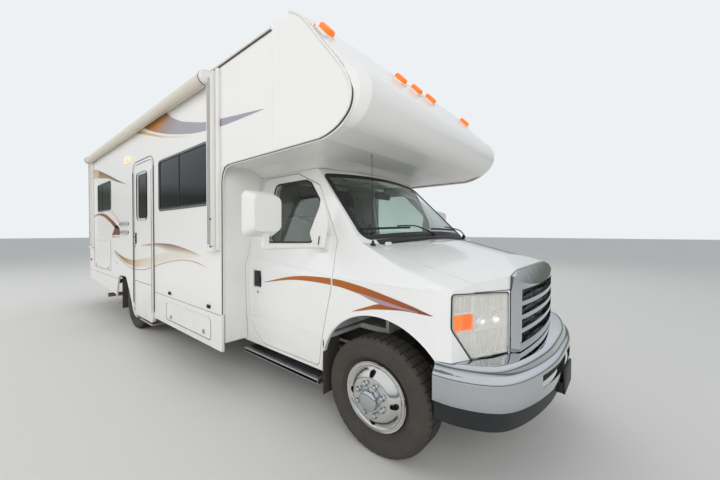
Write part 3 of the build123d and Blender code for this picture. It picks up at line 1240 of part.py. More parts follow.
# Storage bays and cabin furniture
with BuildPart() as storage_bays:
    x0, x1, z0 = BAY
    z1 = FLOOR_Z - FLOOR_THICK
    block(x0, x1, WALL - HALF_WIDTH, -BAY_INNER_Y, z0, z1)
    block(x0 + BAY_WALL, x1 - BAY_WALL, -HALF_WIDTH, -BAY_INNER_Y - BAY_WALL, z0 + BAY_WALL, z1 - BAY_WALL,
          mode=Mode.SUBTRACT)
write(storage_bays, "storage_bays")

BED_FRONT_X = -4900
BED_Z = (1300, 1340)
MATTRESS_TOP = 1500
MATTRESS_GAP = 20
CLOSET = (-4600, -3950, 600, 1700)
CABINET = (-3000, -1800, 550, 1250)
with BuildPart() as cabin_furniture:
    inner_half = HALF_WIDTH - WALL
    block(COACH_REAR + WALL, BED_FRONT_X, -inner_half, inner_half, *BED_Z)
    block(BED_FRONT_X - 15, BED_FRONT_X, -inner_half, inner_half, FLOOR_Z, BED_Z[0])
    half = inner_half - MATTRESS_GAP
    block(COACH_REAR + WALL + 10, BED_FRONT_X - 30, -half, half, BED_Z[1], MATTRESS_TOP)
    x0, x1, y1, z1 = CLOSET
    block(x0, x1, -inner_half, -y1, WELL_TOP_Z + 5, z1)
    x0, x1, depth, z1 = CABINET
    block(x0, x1, inner_half - depth, inner_half, FLOOR_Z, z1)
write(cabin_furniture, "cabin_furniture")

# Outside fittings
AWNING_Z = 2808
AWNING_Y = -1318
AWNING_R = 56
AWNING_ARMS = (-6320, -1560)
ARM_WIDTH = 100
ARM_FEET = (1130, 1262)
ARM_BACK = 42
ARM_DEPTH = 62
ARM_INSET = 14
with BuildPart() as awning:
    rod((AWNING_ARMS[0] + 60, AWNING_Y, AWNING_Z), (AWNING_ARMS[1] + 40, AWNING_Y, AWNING_Z), AWNING_R)
    for x0, foot_z in zip(AWNING_ARMS, ARM_FEET):
        x1 = x0 + ARM_WIDTH
        middle_y = -HALF_WIDTH - ARM_BACK
        block(x0, x1, -HALF_WIDTH - 1, middle_y, foot_z, AWNING_Z + 40)
        block(x0 + ARM_INSET, x1 - ARM_INSET, middle_y, -HALF_WIDTH - ARM_DEPTH, foot_z + 40, AWNING_Z)
write(awning, "awning")

AIRCON = (-3900, -2900, 340, 3205)
AIRCON_TAPER = (200, 120)
AIRCON_CORNER_R = 90
with BuildPart() as roof_aircon:
    x0, x1, half, z1 = AIRCON
    with BuildSketch(TOP.offset(ROOF_Z + CROWN)) as foot:
        with Locations(((x0 + x1) / 2, 0)):
            RectangleRounded(x1 - x0, 2 * half, AIRCON_CORNER_R)
    with BuildSketch(TOP.offset(z1)) as crown:
        with Locations(((x0 + x1) / 2 - 20, 0)):
            RectangleRounded(x1 - x0 - AIRCON_TAPER[0], 2 * half - AIRCON_TAPER[1], AIRCON_CORNER_R)
    loft([foot.sketch, crown.sketch])
    block(x0 + 60, x1 - 60, -half + 60, half - 60, ROOF_Z, ROOF_Z + CROWN + 5)
    add(coach_roof.part, mode=Mode.SUBTRACT)
write(roof_aircon, "roof_aircon")

VENTS = ((-5650, 300), (-2100, 0))
VENT_HALF = 200
VENT_RISE = 78
STACK = (-4500, 700)
STACK_R = 40
STACK_RISE = 120
with BuildPart() as roof_vents:
    for x, y in VENTS:
        block(x - VENT_HALF, x + VENT_HALF, y - VENT_HALF, y + VENT_HALF, ROOF_Z + 2, ROOF_Z + VENT_RISE)
    rod((*STACK, ROOF_Z), (*STACK, ROOF_Z + STACK_RISE), STACK_R)
    add(coach_roof.part, mode=Mode.SUBTRACT)
write(roof_vents, "roof_vents")

LADDER_Y = (600, 940)
LADDER_X = COACH_REAR - 72
LADDER_FOOT_Z = 900
LADDER_TOP_Z = 3000
LADDER_HOOK_X = COACH_REAR + 150
RAIL_R = 13
STANDOFF_R = 11
STANDOFFS = (960, 1750, 2600)
RUNGS = 8
RUNG_FIRST_Z = 1000
RUNG_PITCH = 262
RUNG_R = 12
with BuildPart() as rear_ladder:
    for y in LADDER_Y:
        rod((LADDER_X, y, LADDER_FOOT_Z), (LADDER_X, y, LADDER_TOP_Z + 10), RAIL_R)
        rod((LADDER_X, y, LADDER_TOP_Z), (LADDER_HOOK_X + 10, y, LADDER_TOP_Z), RAIL_R)
        rod((LADDER_HOOK_X, y, LADDER_TOP_Z + 6), (LADDER_HOOK_X, y, ROOF_Z), RAIL_R)
        for z in STANDOFFS:
            rod((COACH_REAR, y, z), (LADDER_X, y, z), STANDOFF_R)
    for rung in range(RUNGS):
        z = RUNG_FIRST_Z + rung * RUNG_PITCH
        rod((LADDER_X, LADDER_Y[0], z), (LADDER_X, LADDER_Y[1], z), RUNG_R)
    add(coach_roof.part, mode=Mode.SUBTRACT)
write(rear_ladder, "rear_ladder")

# Rear bumper beam on its two brackets, with the square hitch receiver hung below it
BEAM_DEPTH = 70
BEAM_HALF_WIDTH = 1180
BEAM_FOOT = 520
BEAM_TOP = 640
RECEIVER_REAR = REAR_END + 30
RECEIVER_FRONT = RAIL_REAR + 200
with BuildPart() as rear_bumper:
    block(REAR_END, REAR_END + BEAM_DEPTH, -BEAM_HALF_WIDTH, BEAM_HALF_WIDTH, BEAM_FOOT, BEAM_TOP)
    for _, side in SIDES:
        x0 = REAR_END + BEAM_DEPTH - 10
        block(x0, RAIL_REAR, side * (RAIL_Y - 20), side * (RAIL_Y + 30), BEAM_FOOT + 10, RAIL_TOP)
    outer = RECEIVER_OUTER / 2
    bore = RECEIVER_BORE / 2
    block(RECEIVER_REAR, RECEIVER_REAR + 35, -110, 110, RECEIVER_Z - 20, BEAM_FOOT + 5)
    block(RECEIVER_FRONT - 60, RECEIVER_FRONT + 10, -RAIL_Y, RAIL_Y, rail_foot - 40, rail_foot)
    block(RECEIVER_REAR, RECEIVER_FRONT, -outer, outer, RECEIVER_Z - outer, RECEIVER_Z + outer)
    block(RECEIVER_REAR - 10, RECEIVER_FRONT - 70, -bore, bore, RECEIVER_Z - bore, RECEIVER_Z + bore,
          mode=Mode.SUBTRACT)
    rod((PIN_X, -120, RECEIVER_Z), (PIN_X, 120, RECEIVER_Z), PIN_R, mode=Mode.SUBTRACT)
write(rear_bumper, "rear_bumper")

TAIL_LAMP = (28, 950, 1150, 760, 900)
SIDE_MARKER = (-6490, -6410, 12, 860, 900)
REAR_MARKERS = (-1100, -150, 0, 150, 1100)
REAR_MARKER = (20, 40, 2780, 2812)
with BuildPart() as tail_lamps:
    for _, side in SIDES:
        depth, y0, y1, z0, z1 = TAIL_LAMP
        block(COACH_REAR - depth, COACH_REAR, side * y0, side * y1, z0, z1)
        x0, x1, depth, z0, z1 = SIDE_MARKER
        block(x0, x1, side * HALF_WIDTH, side * (HALF_WIDTH + depth), z0, z1)
    depth, half, z0, z1 = REAR_MARKER
    for y in REAR_MARKERS:
        block(COACH_REAR - depth, COACH_REAR, y - half, y + half, z0, z1)
write(tail_lamps, "tail_lamps")

# Amber clearance lamps on the cap's slope, and the lamp beside the entry door
MARKER_YS = (-1190, -280, 0, 280, 1190)
MARKER_AT = (-262, 2692)
MARKER_SIZE = (110, 80, 34)
SLOPE_ANGLE = 52.7
PORCH_LAMP = (-4040, -4000, 26, 2440, 2500)
with BuildPart() as marker_lamps:
    for y in MARKER_YS:
        with Locations(Location((FRONT_AXLE_X + MARKER_AT[0], y, MARKER_AT[1]), (0, SLOPE_ANGLE, 0))):
            Box(*MARKER_SIZE)
    x0, x1, depth, z0, z1 = PORCH_LAMP
    block(x0, x1, -HALF_WIDTH - depth, -HALF_WIDTH, z0, z1)
    add(cap_form(0), mode=Mode.SUBTRACT)
write(marker_lamps, "marker_lamps")
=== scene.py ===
"""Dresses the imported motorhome: paint, gel coat, glass, chrome, trim, stripes, tyres and cabin.

Metres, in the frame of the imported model: X forward, Y to the vehicle's left, Z up from the ground.
"""
import math

import bmesh
import bpy
from mathutils import Matrix, Vector
from mathutils.bvhtree import BVHTree


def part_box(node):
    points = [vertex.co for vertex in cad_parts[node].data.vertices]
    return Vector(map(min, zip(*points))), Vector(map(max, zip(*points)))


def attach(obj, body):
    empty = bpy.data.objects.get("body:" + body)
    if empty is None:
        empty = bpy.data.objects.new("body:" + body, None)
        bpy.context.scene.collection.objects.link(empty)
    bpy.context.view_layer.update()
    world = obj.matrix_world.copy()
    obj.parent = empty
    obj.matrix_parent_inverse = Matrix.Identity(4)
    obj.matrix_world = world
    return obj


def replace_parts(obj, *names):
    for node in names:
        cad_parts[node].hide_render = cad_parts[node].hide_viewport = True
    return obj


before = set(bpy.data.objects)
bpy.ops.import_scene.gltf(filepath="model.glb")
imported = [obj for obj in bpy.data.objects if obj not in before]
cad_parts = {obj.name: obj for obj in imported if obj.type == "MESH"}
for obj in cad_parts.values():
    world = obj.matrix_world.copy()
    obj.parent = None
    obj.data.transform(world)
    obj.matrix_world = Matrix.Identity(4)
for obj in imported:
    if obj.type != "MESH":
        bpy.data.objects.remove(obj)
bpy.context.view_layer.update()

# The front axle's place; the sizes below count x from it
AXLE_X = 2.875
WHEELBASE = 4.013
WALL_Y = 1.250
REAR_WALL_X = -6.520
FILM = 0.0008
WELD = 0.00005
SIDES = (("right", -1), ("left", 1))

# Camera, as fitted to the photograph
PHOTO_WIDTH = 720
FOCAL_PIXELS = 319.21
SENSOR_MM = 36
EYE = (AXLE_X + 1.133, -2.7006, 1.4264)
YAW, PITCH = 0.7839, -0.0173
LENS_SHIFT = (0.0711, -0.0036)

# Light: what mirrors see from the horizon up, and the lamps' places, sizes and powers
HORIZON_BANDS = ((0.02, "#7F857C"), (0.10, "#6C746A"), (0.14, "#B9C0C2"), (0.26, "#E3E9EE"),
                 (0.60, "#F7FAFC"))
LAMPS = (("key", (9.5, -9.0, 6.0), 8.0, 560), ("fill", (-8.0, -10.0, 5.0), 8.0, 400),
         ("back", (-4.0, 10.0, 8.0), 8.0, 300), ("top", (0.0, 0.0, 11.0), 9.0, 120))
LAMP_AIM = Vector((0.5, 0, 1.2))
DUST_FOOT, DUST_SHARE = 0.25, 0.55


def set_camera():
    """The photograph's eye point: a wide lens close to the right front corner."""
    level = math.cos(PITCH)
    forward = Vector((-math.sin(YAW) * level, math.cos(YAW) * level, math.sin(PITCH)))
    right = Vector((math.cos(YAW), math.sin(YAW), 0))
    lens = bpy.data.cameras.new("camera")
    lens.sensor_width = SENSOR_MM
    lens.lens = FOCAL_PIXELS / PHOTO_WIDTH * SENSOR_MM
    lens.shift_x, lens.shift_y = LENS_SHIFT
    lens.clip_end = 200
    camera = bpy.data.objects.new("camera", lens)
    turn = Matrix((right, right.cross(forward), -forward)).transposed().to_4x4()
    camera.matrix_world = Matrix.Translation(EYE) @ turn
    bpy.context.scene.collection.objects.link(camera)
    bpy.context.scene.camera = camera


def set_light():
    """A wide soft sky with a large key on the camera's side."""
    world = bpy.data.worlds.new("studio")
    bpy.context.scene.world = world
    world.use_nodes = True
    tree = world.node_tree
    tree.nodes.clear()
    path = add_node(tree, "LightPath")
    direct = add_node(tree, "Math", {0: path.outputs["Is Camera Ray"],
                                     1: path.outputs["Is Transmission Ray"]}, operation="MAXIMUM")
    height = add_node(tree, "SeparateXYZ", {0: add_node(tree, "TexCoord").outputs["Generated"]})
    bands = colour_bands(tree, height.outputs[2], HORIZON_BANDS)
    shades = ((bands, 1.0), (colour("#E6ECF2"), 0.60), (colour("#EEF1F3"), 1.0))
    mirrored, lit, backdrop = (add_node(tree, "Background", {"Color": shade, "Strength": strength}).outputs[0]
                               for shade, strength in shades)
    unseen = add_node(tree, "MixShader", {0: path.outputs["Is Glossy Ray"], 1: lit, 2: mirrored})
    either = add_node(tree, "MixShader", {0: direct.outputs[0], 1: unseen.outputs[0], 2: backdrop})
    add_node(tree, "OutputWorld", {"Surface": either.outputs[0]})
    for name, place, size, power in LAMPS:
        lamp = bpy.data.lights.new(name, "AREA")
        lamp.size = size
        lamp.energy = power
        light = bpy.data.objects.new(name, lamp)
        light.location = place
        light.rotation_mode = "QUATERNION"
        light.rotation_quaternion = (LAMP_AIM - light.location).to_track_quat("-Z", "Y")
        light.visible_glossy = False
        bpy.context.scene.collection.objects.link(light)


def lay_floor():
    """A plain pale floor, far wider than the view."""
    work = bmesh.new()
    bmesh.ops.create_grid(work, x_segments=1, y_segments=1, size=90)
    floor = linked(work, "floor")
    material, _, shader, _ = new_material("pale studio floor")
    shader.inputs["Base Color"].default_value = colour("#E4E2DD")
    shader.inputs["Roughness"].default_value = 0.75
    floor.data.materials.append(material)


# Colour and nodes

def colour(code):
    """An sRGB hex value as linear RGBA."""
    channels = [int(code[i:i + 2], 16) / 255 for i in (1, 3, 5)]
    linear = [c / 12.92 if c <= 0.04045 else ((c + 0.055) / 1.055) ** 2.4 for c in channels]
    return (*linear, 1.0)


def add_node(tree, kind, inputs=None, **settings):
    """Add a shader node with its settings, socket values and links."""
    node = tree.nodes.new("ShaderNode" + kind)
    for name, value in settings.items():
        setattr(node, name, value)
    for socket, value in (inputs or {}).items():
        if isinstance(value, bpy.types.NodeSocket):
            tree.links.new(value, node.inputs[socket])
        else:
            node.inputs[socket].default_value = value
    return node


def colour_bands(tree, share, stops):
    """A colour that runs through stops of (place from 0 to 1, hex value)."""
    node = add_node(tree, "ValToRGB", {0: share})
    elements = node.color_ramp.elements
    elements[0].position, elements[1].position = stops[0][0], stops[-1][0]
    elements[0].color, elements[1].color = colour(stops[0][1]), colour(stops[-1][1])
    for place, code in stops[1:-1]:
        elements.new(place).color = colour(code)
    return node.outputs[0]


def blend(tree, share, first, second, kind="MIX"):
    """Two colours, mixed by a share."""
    mix = add_node(tree, "Mix", {0: share, 6: first, 7: second}, data_type="RGBA", blend_type=kind)
    return mix.outputs[2]


def new_material(name):
    """An empty material with its Principled shader, output and Object coordinates."""
    material = bpy.data.materials.new(name)
    material.use_nodes = True
    tree = material.node_tree
    tree.nodes.clear()
    shader = add_node(tree, "BsdfPrincipled")
    add_node(tree, "OutputMaterial", {"Surface": shader.outputs[0]})
    place = add_node(tree, "TexCoord").outputs["Object"]
    return material, tree, shader, place


def mottled(tree, place, low, high, size_mm, detail=2.0):
    """A colour that drifts between two hex values over patches of a real size."""
    noise = add_node(tree, "TexNoise", {"Vector": place, "Scale": 1000 / size_mm, "Detail": detail})
    return blend(tree, noise.outputs["Fac"], colour(low), colour(high))


def relief(tree, height, depth_mm, strength=1.0):
    """A bump as deep as a real depth in millimetres."""
    bump = add_node(tree, "Bump", {"Height": height, "Distance": depth_mm / 1000, "Strength": strength})
    return bump.outputs[0]


def road_film(tree, place, clean, dust, top_m):
    """Thin dust from the road that fades out at a height above the ground."""
    height = add_node(tree, "SeparateXYZ", {0: place}).outputs[2]
    fade = add_node(tree, "MapRange", {0: height, 1: DUST_FOOT, 2: top_m, 3: DUST_SHARE, 4: 0.0}, clamp=True)
    patch = add_node(tree, "TexNoise", {"Vector": place, "Scale": 6.0, "Detail": 4.0})
    amount = add_node(tree, "Math", {0: fade.outputs[0], 1: patch.outputs["Fac"]}, operation="MULTIPLY")
    return blend(tree, amount.outputs[0], clean, colour(dust))


# Finishes

def plain(name, tones, rough, grain=None, sockets=None, dust=None):
    """A finish from its tones (low, high, patch in mm, detail), roughness, grain and other sockets.

    The grain is a texture, its settings, how it is laid, its depth in mm and its strength. Dust is a
    colour and the height in metres where it fades out.
    """
    material, tree, shader, place = new_material(name)
    base = mottled(tree, place, *tones)
    if dust:
        base = road_film(tree, place, base, *dust)
    tree.links.new(base, shader.inputs["Base Color"])
    for socket, value in {"Roughness": rough, **(sockets or {})}.items():
        shader.inputs[socket].default_value = value
    if grain:
        kind, inputs, settings, depth_mm, strength = grain
        texture = add_node(tree, kind, {"Vector": place, **inputs}, **settings)
        height = texture.outputs["Distance" if kind == "TexVoronoi" else "Fac"]
        tree.links.new(relief(tree, height, depth_mm, strength), shader.inputs["Normal"])
    return material


def grained(scale, detail, depth_mm, strength):
    """An even grain of soft bumps."""
    return "TexNoise", {"Scale": scale, "Detail": detail}, {}, depth_mm, strength


def drawn(name, low, high, rough, stretch, noise, metallic=0.0):
    """A finish whose tones are drawn out along the vehicle: brushed metal or wood grain."""
    material, tree, shader, place = new_material(name)
    shader.inputs["Metallic"].default_value = metallic
    along = add_node(tree, "Mapping", {"Vector": place, "Scale": stretch})
    lines = add_node(tree, "TexNoise", {"Vector": along.outputs[0], **noise})
    tree.links.new(blend(tree, lines.outputs["Fac"], colour(low), colour(high)), shader.inputs["Base Color"])
    shader.inputs["Roughness"].default_value = rough
    return material


def see_through(name, code, rough, ior):
    """Clear glass or polycarbonate: one faint tint and a smooth face."""
    material, _, shader, _ = new_material(name)
    shader.inputs["Base Color"].default_value = colour(code)
    for socket, value in (("Roughness", rough), ("Transmission Weight", 1.0), ("IOR", ior)):
        shader.inputs[socket].default_value = value
    return material


def polished_stainless():
    """Stainless wheel liners, pressed and buffed, under a few scuffs."""
    material, tree, shader, place = new_material("polished stainless steel")
    shader.inputs["Metallic"].default_value = 1.0
    shader.inputs["Base Color"].default_value = colour("#D2D1CF")
    scuffs = add_node(tree, "TexNoise", {"Vector": place, "Scale": 60.0, "Detail": 3.0})
    rough = add_node(tree, "MapRange", {0: scuffs.outputs["Fac"], 3: 0.08, 4: 0.2})
    tree.links.new(rough.outputs[0], shader.inputs["Roughness"])
    return material


def tinted_lens(name, code):
    """Coloured polycarbonate with moulded prisms of about four millimetres behind its face, and a faint glow
    in its own colour: painted light standing in for daylight shining through the unlit lens.
    """
    prisms = ("TexWave", {"Scale": 40.0}, {"bands_direction": "DIAGONAL"}, 1.0, 0.5)
    # Painted light: a faint emission in the lens colour, as though daylight shone through it.
    lens_painted_glow = {"Transmission Weight": 0.25, "Emission Color": colour(code), "Emission Strength": 0.3}
    return plain(name, (code, code, 200), 0.12, prisms, lens_painted_glow)


def film(name, along, fade=0.0):
    """Cast vinyl film, printed with colours that shade along the stripe and pale towards its lower edge."""
    material, tree, shader, place = new_material(name)
    across = add_node(tree, "SeparateXYZ", {0: add_node(tree, "TexCoord").outputs["UV"]})
    shades = colour_bands(tree, across.outputs[0], along)
    paling = add_node(tree, "MapRange", {0: across.outputs[1], 1: 0.0, 2: 1.0, 3: fade, 4: 0.0})
    shaded = blend(tree, paling.outputs[0], shades, colour("#F0EAE0"))
    bleached = mottled(tree, place, "#F2F2F2", "#FFFFFF", 500, 3.0)
    tree.links.new(blend(tree, 1.0, shaded, bleached, "MULTIPLY"), shader.inputs["Base Color"])
    shader.inputs["Roughness"].default_value = 0.38
    shader.inputs["Specular IOR Level"].default_value = 0.3
    peel = add_node(tree, "TexNoise", {"Vector": place, "Scale": 260.0, "Detail": 1.0})
    tree.links.new(relief(tree, peel.outputs["Fac"], 0.1, 0.25), shader.inputs["Normal"])
    return material


METAL = {"Metallic": 1.0}
LACQUER = {"Coat Weight": 1.0, "Coat Roughness": 0.04}
# The headlamp bowls glow faintly: painted light in place of the daylight that the clear lens keeps from them.
BOWL_PAINTED_GLOW = {"Metallic": 0.55, "Emission Color": colour("#F4F1EB"), "Emission Strength": 0.13}
BOWL_RIBS = ("TexWave", {"Scale": 22.0, "Distortion": 0.4}, {"bands_direction": "Y"}, 2.5, 0.5)
MATERIALS = {
    "gel_coat": plain("white gel coat fibreglass", ("#EFEDE9", "#F3F1EE", 900), 0.24,
                      grained(1.6, 1.0, 6, 0.35), {"IOR": 1.52}, ("#CFC8BC", 0.9)),
    "cab_paint": plain("white lacquered steel", ("#F0EFEC", "#F4F3F1", 700), 0.32,
                       sockets=LACQUER, dust=("#C9C2B6", 0.8)),
    "chromium": plain("chromium plate", ("#BCC0C4", "#C9CCCF", 300), 0.07,
                      grained(7.0, 2.0, 2.0, 0.25), METAL),
    "stainless": polished_stainless(),
    "rubber": plain("vulcanised tyre rubber", ("#35312E", "#4F4842", 90, 5.0), 0.72,
                    grained(500.0, 2.0, 0.3, 0.5)),
    # Darker rubber for the grooves and sipes: partly the real unworn rubber there, partly painted shade in the
    # recesses.
    "groove_rubber_painted_shade": plain("groove rubber with painted shade", ("#1D1B1A", "#2A2725", 40, 3.0), 0.8),
    "chassis": plain("black chassis enamel", ("#1B1B1B", "#3A3731", 160, 5.0), 0.55,
                     grained(180.0, 3.0, 0.4, 0.4)),
    "iron": plain("sand cast iron", ("#4A4541", "#6B5646", 60, 6.0), 0.7, grained(300.0, 4.0, 0.8, 0.6),
                  {"Metallic": 0.6}),
    "pipe": plain("aluminised exhaust steel", ("#8B8680", "#6F5F52", 250, 4.0), 0.48,
                  sockets={"Metallic": 0.9}),
    "black": plain("grained black polypropylene", ("#1C1D1E", "#26272A", 200), 0.55,
                   ("TexVoronoi", {"Scale": 700.0}, {}, 0.4, 0.5)),
    "abs": plain("white moulded ABS", ("#ECEAE5", "#F1EFEB", 400), 0.38, grained(900.0, 1.0, 0.15, 0.3)),
    "aluminium": drawn("anodised aluminium", "#B9BABC", "#D3D4D6", 0.3, (4.0, 300.0, 300.0),
                       {"Scale": 2.0, "Detail": 3.0}, 1.0),
    "clear": see_through("laminated clear glass", "#D8E6E0", 0.0, 1.5),
    "privacy": plain("deep tinted privacy glass", ("#15191B", "#1B2022", 900), 0.02),
    "lens": see_through("clear polycarbonate", "#F4F6F7", 0.02, 1.3),
    "amber": tinted_lens("amber polycarbonate", "#FF8320"),
    "pale_amber": tinted_lens("light amber polycarbonate", "#FF9638"),
    "warm_lens": tinted_lens("honey polycarbonate", "#EFE3C8"),
    "red": tinted_lens("red polycarbonate", "#B5141A"),
    "cloth": plain("woven seat cloth", ("#8C8378", "#A39A8D", 15, 4.0), 0.9,
                   ("TexBrick", {"Scale": 120.0}, {}, 0.6, 0.5), {"Sheen Weight": 0.3}),
    "wood": drawn("cherry wood laminate", "#5A3320", "#8A5735", 0.4, (1.0, 14.0, 14.0),
                  {"Scale": 5.0, "Detail": 6.0, "Distortion": 0.6}),
    "dash": plain("grained dashboard vinyl", ("#5A5751", "#666259", 120), 0.62,
                  ("TexVoronoi", {"Scale": 450.0}, {}, 0.5, 0.5)),
    "sealant": plain("butyl sealant", ("#3E3833", "#5C544C", 25, 4.0), 0.7),
    "window_grey": plain("grey powder coat", ("#666665", "#696968", 150), 0.42,
                         grained(600.0, 1.0, 0.2, 0.3)),
    "smoked_lid": plain("smoked acrylic", ("#3B3532", "#4A433F", 120), 0.18),
    "gasket": plain("extruded EPDM rubber", ("#17181A", "#232427", 60, 3.0), 0.5),
    "white_enamel": plain("stoved white enamel", ("#E9E8E4", "#EFEEEA", 90), 0.3),
    "awning_cloth": plain("vinyl laminated awning fabric", ("#DCD3C3", "#E6DFD2", 180, 4.0), 0.6,
                          ("TexBrick", {"Scale": 110.0}, {}, 0.3, 0.35)),
    # Bowls, prisms and cups of the headlamps, with a faint painted glow for the light they would catch through
    # the lens.
    "reflector": plain("vacuum metallised reflector", ("#F1F0EC", "#F8F6F1", 40), 0.30,
                       BOWL_RIBS, BOWL_PAINTED_GLOW),
    "mirror": plain("silvered mirror glass", ("#C8CED2", "#CDD3D6", 500), 0.02, sockets=METAL),
    "headliner": plain("needled felt", ("#7C7768", "#908A79", 12, 5.0), 0.95, sockets={"Sheen Weight": 0.2}),
    "webbing": plain("woven polyester webbing", ("#55524B", "#65625A", 30, 3.0), 0.7,
                     ("TexWave", {"Scale": 80.0}, {"bands_direction": "Z"}, 0.5, 0.6)),
    "film_upper": film("upper sweep film", ((0.0, "#9A5F22"), (0.16, "#BF8238"), (0.30, "#A79A98"),
                                            (0.42, "#AEA8B2"), (1.0, "#A9A5B4"))),
    "film_upper_line": film("upper line film", ((0.0, "#D8A45E"), (0.5, "#EADBC8"), (1.0, "#EFEBE6"))),
    "film_bronze": film("bronze film", ((0.0, "#7E5A44"), (1.0, "#8A654D"))),
    "film_rear": film("rear sweep film", ((0.0, "#D3B690"), (0.20, "#CDAE86"), (0.26, "#7C6238"),
                                          (1.0, "#8A6A44")), 0.25),
    "film_hook": film("hook film", ((0.0, "#8E7A4A"), (0.35, "#8F6A34"), (0.6, "#9C6540"),
                                    (1.0, "#6B4429"))),
    "film_hook_end": film("hook end film", ((0.0, "#7B5233"), (0.5, "#7A4E2E"), (1.0, "#6B4429"))),
    "film_pale": film("pale film", ((0.0, "#EBDCD2"), (1.0, "#DCC4B6"))),
    "film_wave": film("wave film", ((0.0, "#7E7838"), (0.16, "#A3894A"), (0.27, "#C49B60"),
                                    (0.40, "#DFC7A4"), (0.55, "#EBE0D0"), (1.0, "#EEE8DE"))),
    "film_crest": film("crest film", ((0.0, "#C08A58"), (0.25, "#A5704A"), (0.5, "#83604E"),
                                      (0.8, "#B98F6A"), (1.0, "#DCC6AA")), 0.85),
    "film_line": film("line film", ((0.0, "#5E5A2E"), (0.3, "#A66E44"), (0.5, "#A8824E"), (0.75, "#CDA67C"),
                                    (1.0, "#C79A6E"))),
    "film_orange": film("orange brown film", ((0.0, "#BC7430"), (0.5, "#B5652B"), (1.0, "#8F5038"))),
    "film_mauve": film("mauve film", ((0.0, "#B79FA8"), (1.0, "#AE949E"))),
}
NODE_FINISH = {
    "abs": ("awning", "mirror_left", "mirror_right", "roof_aircon", "roof_vents"),
    "black": ("bumper_valance", "steering_wheel", "storage_bays", "tanks"),
    "window_grey": ("window_frames",),
    "clear": ("cab_door_glass_left", "cab_door_glass_right", "windshield"),
    "cab_paint": ("cab_door_left", "cab_door_right", "cab_shell", "front_fenders", "hood"),
    "cloth": ("cab_seats",),
    "gel_coat": ("cab_surround", "coach_roof", "coach_skirts", "entry_door", "hatch_front_right", "hatch_left",
                 "hatch_rear_right", "overcab_cap", "wall_left", "wall_rear", "wall_right"),
    "wood": ("cabin_furniture", "coach_floor"),
    "privacy": ("coach_glass", "entry_door_glass"),
    "chassis": ("crossmembers", "frame_rails", "front_axle", "rear_axle", "rear_bumper"),
    "dash": ("dashboard",),
    "iron": ("engine", "knuckle_left", "knuckle_right"),
    "aluminium": ("entry_step", "rear_ladder", "running_boards"),
    "pipe": ("exhaust",),
    "chromium": ("front_bumper", "front_grille"),
    "stainless": ("front_rim_left", "front_rim_right", "rear_rims_left", "rear_rims_right"),
    "rubber": ("front_tyre_left", "front_tyre_right", "rear_tyres_left", "rear_tyres_right"),
    "lens": ("headlamps",),
    "amber": ("marker_lamps",),
    "red": ("tail_lamps",),
}


def finish_nodes():
    """Give every CAD node the finish of the real piece."""
    for finish, names in NODE_FINISH.items():
        for name in names:
            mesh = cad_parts[name].data
            mesh.materials.clear()
            mesh.materials.append(MATERIALS[finish])


# Making pieces

BESIDE, SIDE_REACH = 2.0, 1.6
ABOVE = 2.2


def at(x, y, z):
    """A point whose x is counted from the front axle."""
    return Vector((AXLE_X + x, y, z))


def run(*points):
    """A line of such points."""
    return [at(*point) for point in points]


def linked(work, name):
    """Turn a worked bmesh into an object of the scene."""
    mesh = bpy.data.meshes.new(name)
    work.to_mesh(mesh)
    work.free()
    piece = bpy.data.objects.new(name, mesh)
    bpy.context.scene.collection.objects.link(piece)
    return piece


def keep(work, name, body="root", finish="abs", bend=35):
    """Turn a worked bmesh into a piece: finished, shaded and riding on its body."""
    piece = linked(work, name)
    piece.data.materials.append(MATERIALS[finish])
    piece.data.shade_smooth()
    piece.data.set_sharp_from_angle(angle=math.radians(bend))
    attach(piece, body)
    return piece


def rounded_block(work, low, high, radius, segments=2):
    """A block between two corners with its edges rounded."""
    low, high = Vector(low), Vector(high)
    size = [abs(s) for s in high - low]
    place = Matrix.Translation((low + high) / 2) @ Matrix.Diagonal((*size, 1))
    verts = bmesh.ops.create_cube(work, size=1, matrix=place)["verts"]
    edges = list({edge for vert in verts for edge in vert.link_edges})
    bmesh.ops.bevel(work, geom=edges, offset=radius, offset_type="OFFSET", segments=segments, profile=0.5,
                    affect="EDGES", material=-1)


def blocks(name, parts, body="root", finish="abs"):
    """One piece of rounded blocks, each as its low and high corner, radius and segments."""
    work = bmesh.new()
    for low, high, *edge in parts:
        rounded_block(work, at(*low), at(*high), *edge)
    return keep(work, name, body, finish)


def shifted(work, grown, way):
    """Move the points that an extrusion has added."""
    moved = [part for part in grown["geom"] if isinstance(part, bmesh.types.BMVert)]
    bmesh.ops.translate(work, vec=way, verts=moved)
    return moved


def prism(work, outline, depth, radius=0.0):
    """A face through the outline, extruded along a vector, its edges rounded."""
    verts = [work.verts.new(point) for point in outline]
    face = work.faces.new(verts)
    moved = shifted(work, bmesh.ops.extrude_face_region(work, geom=[face]), depth)
    solid = list({face for vert in verts + moved for face in vert.link_faces})
    bmesh.ops.recalc_face_normals(work, faces=solid)
    if radius:
        edges = list({edge for face in solid for edge in face.edges})
        bmesh.ops.bevel(work, geom=edges, offset=radius, offset_type="OFFSET", segments=2, profile=0.5,
                        affect="EDGES", material=-1, clamp_overlap=True)


def inner_band(work, faces, width):
    """The faces of a band as wide as width along the open edge of some faces."""
    inset = bmesh.ops.inset_region(work, faces=faces, thickness=width, use_even_offset=True, use_boundary=True)
    return inset["faces"]


def frame_strip(work, outline, width, depth):
    """A flat frame as wide as width inside an outline, raised along a vector."""
    face = work.faces.new([work.verts.new(point) for point in outline])
    band = inner_band(work, [face], width)
    bmesh.ops.delete(work, geom=[face], context="FACES")
    shifted(work, bmesh.ops.extrude_face_region(work, geom=band), depth)
    bmesh.ops.recalc_face_normals(work, faces=work.faces)


def framed(name, outlines, width, depth, body="root", finish="abs"):
    """One piece of flat frames."""
    work = bmesh.new()
    for outline in outlines:
        frame_strip(work, outline, width, Vector(depth))
    return keep(work, name, body, finish)


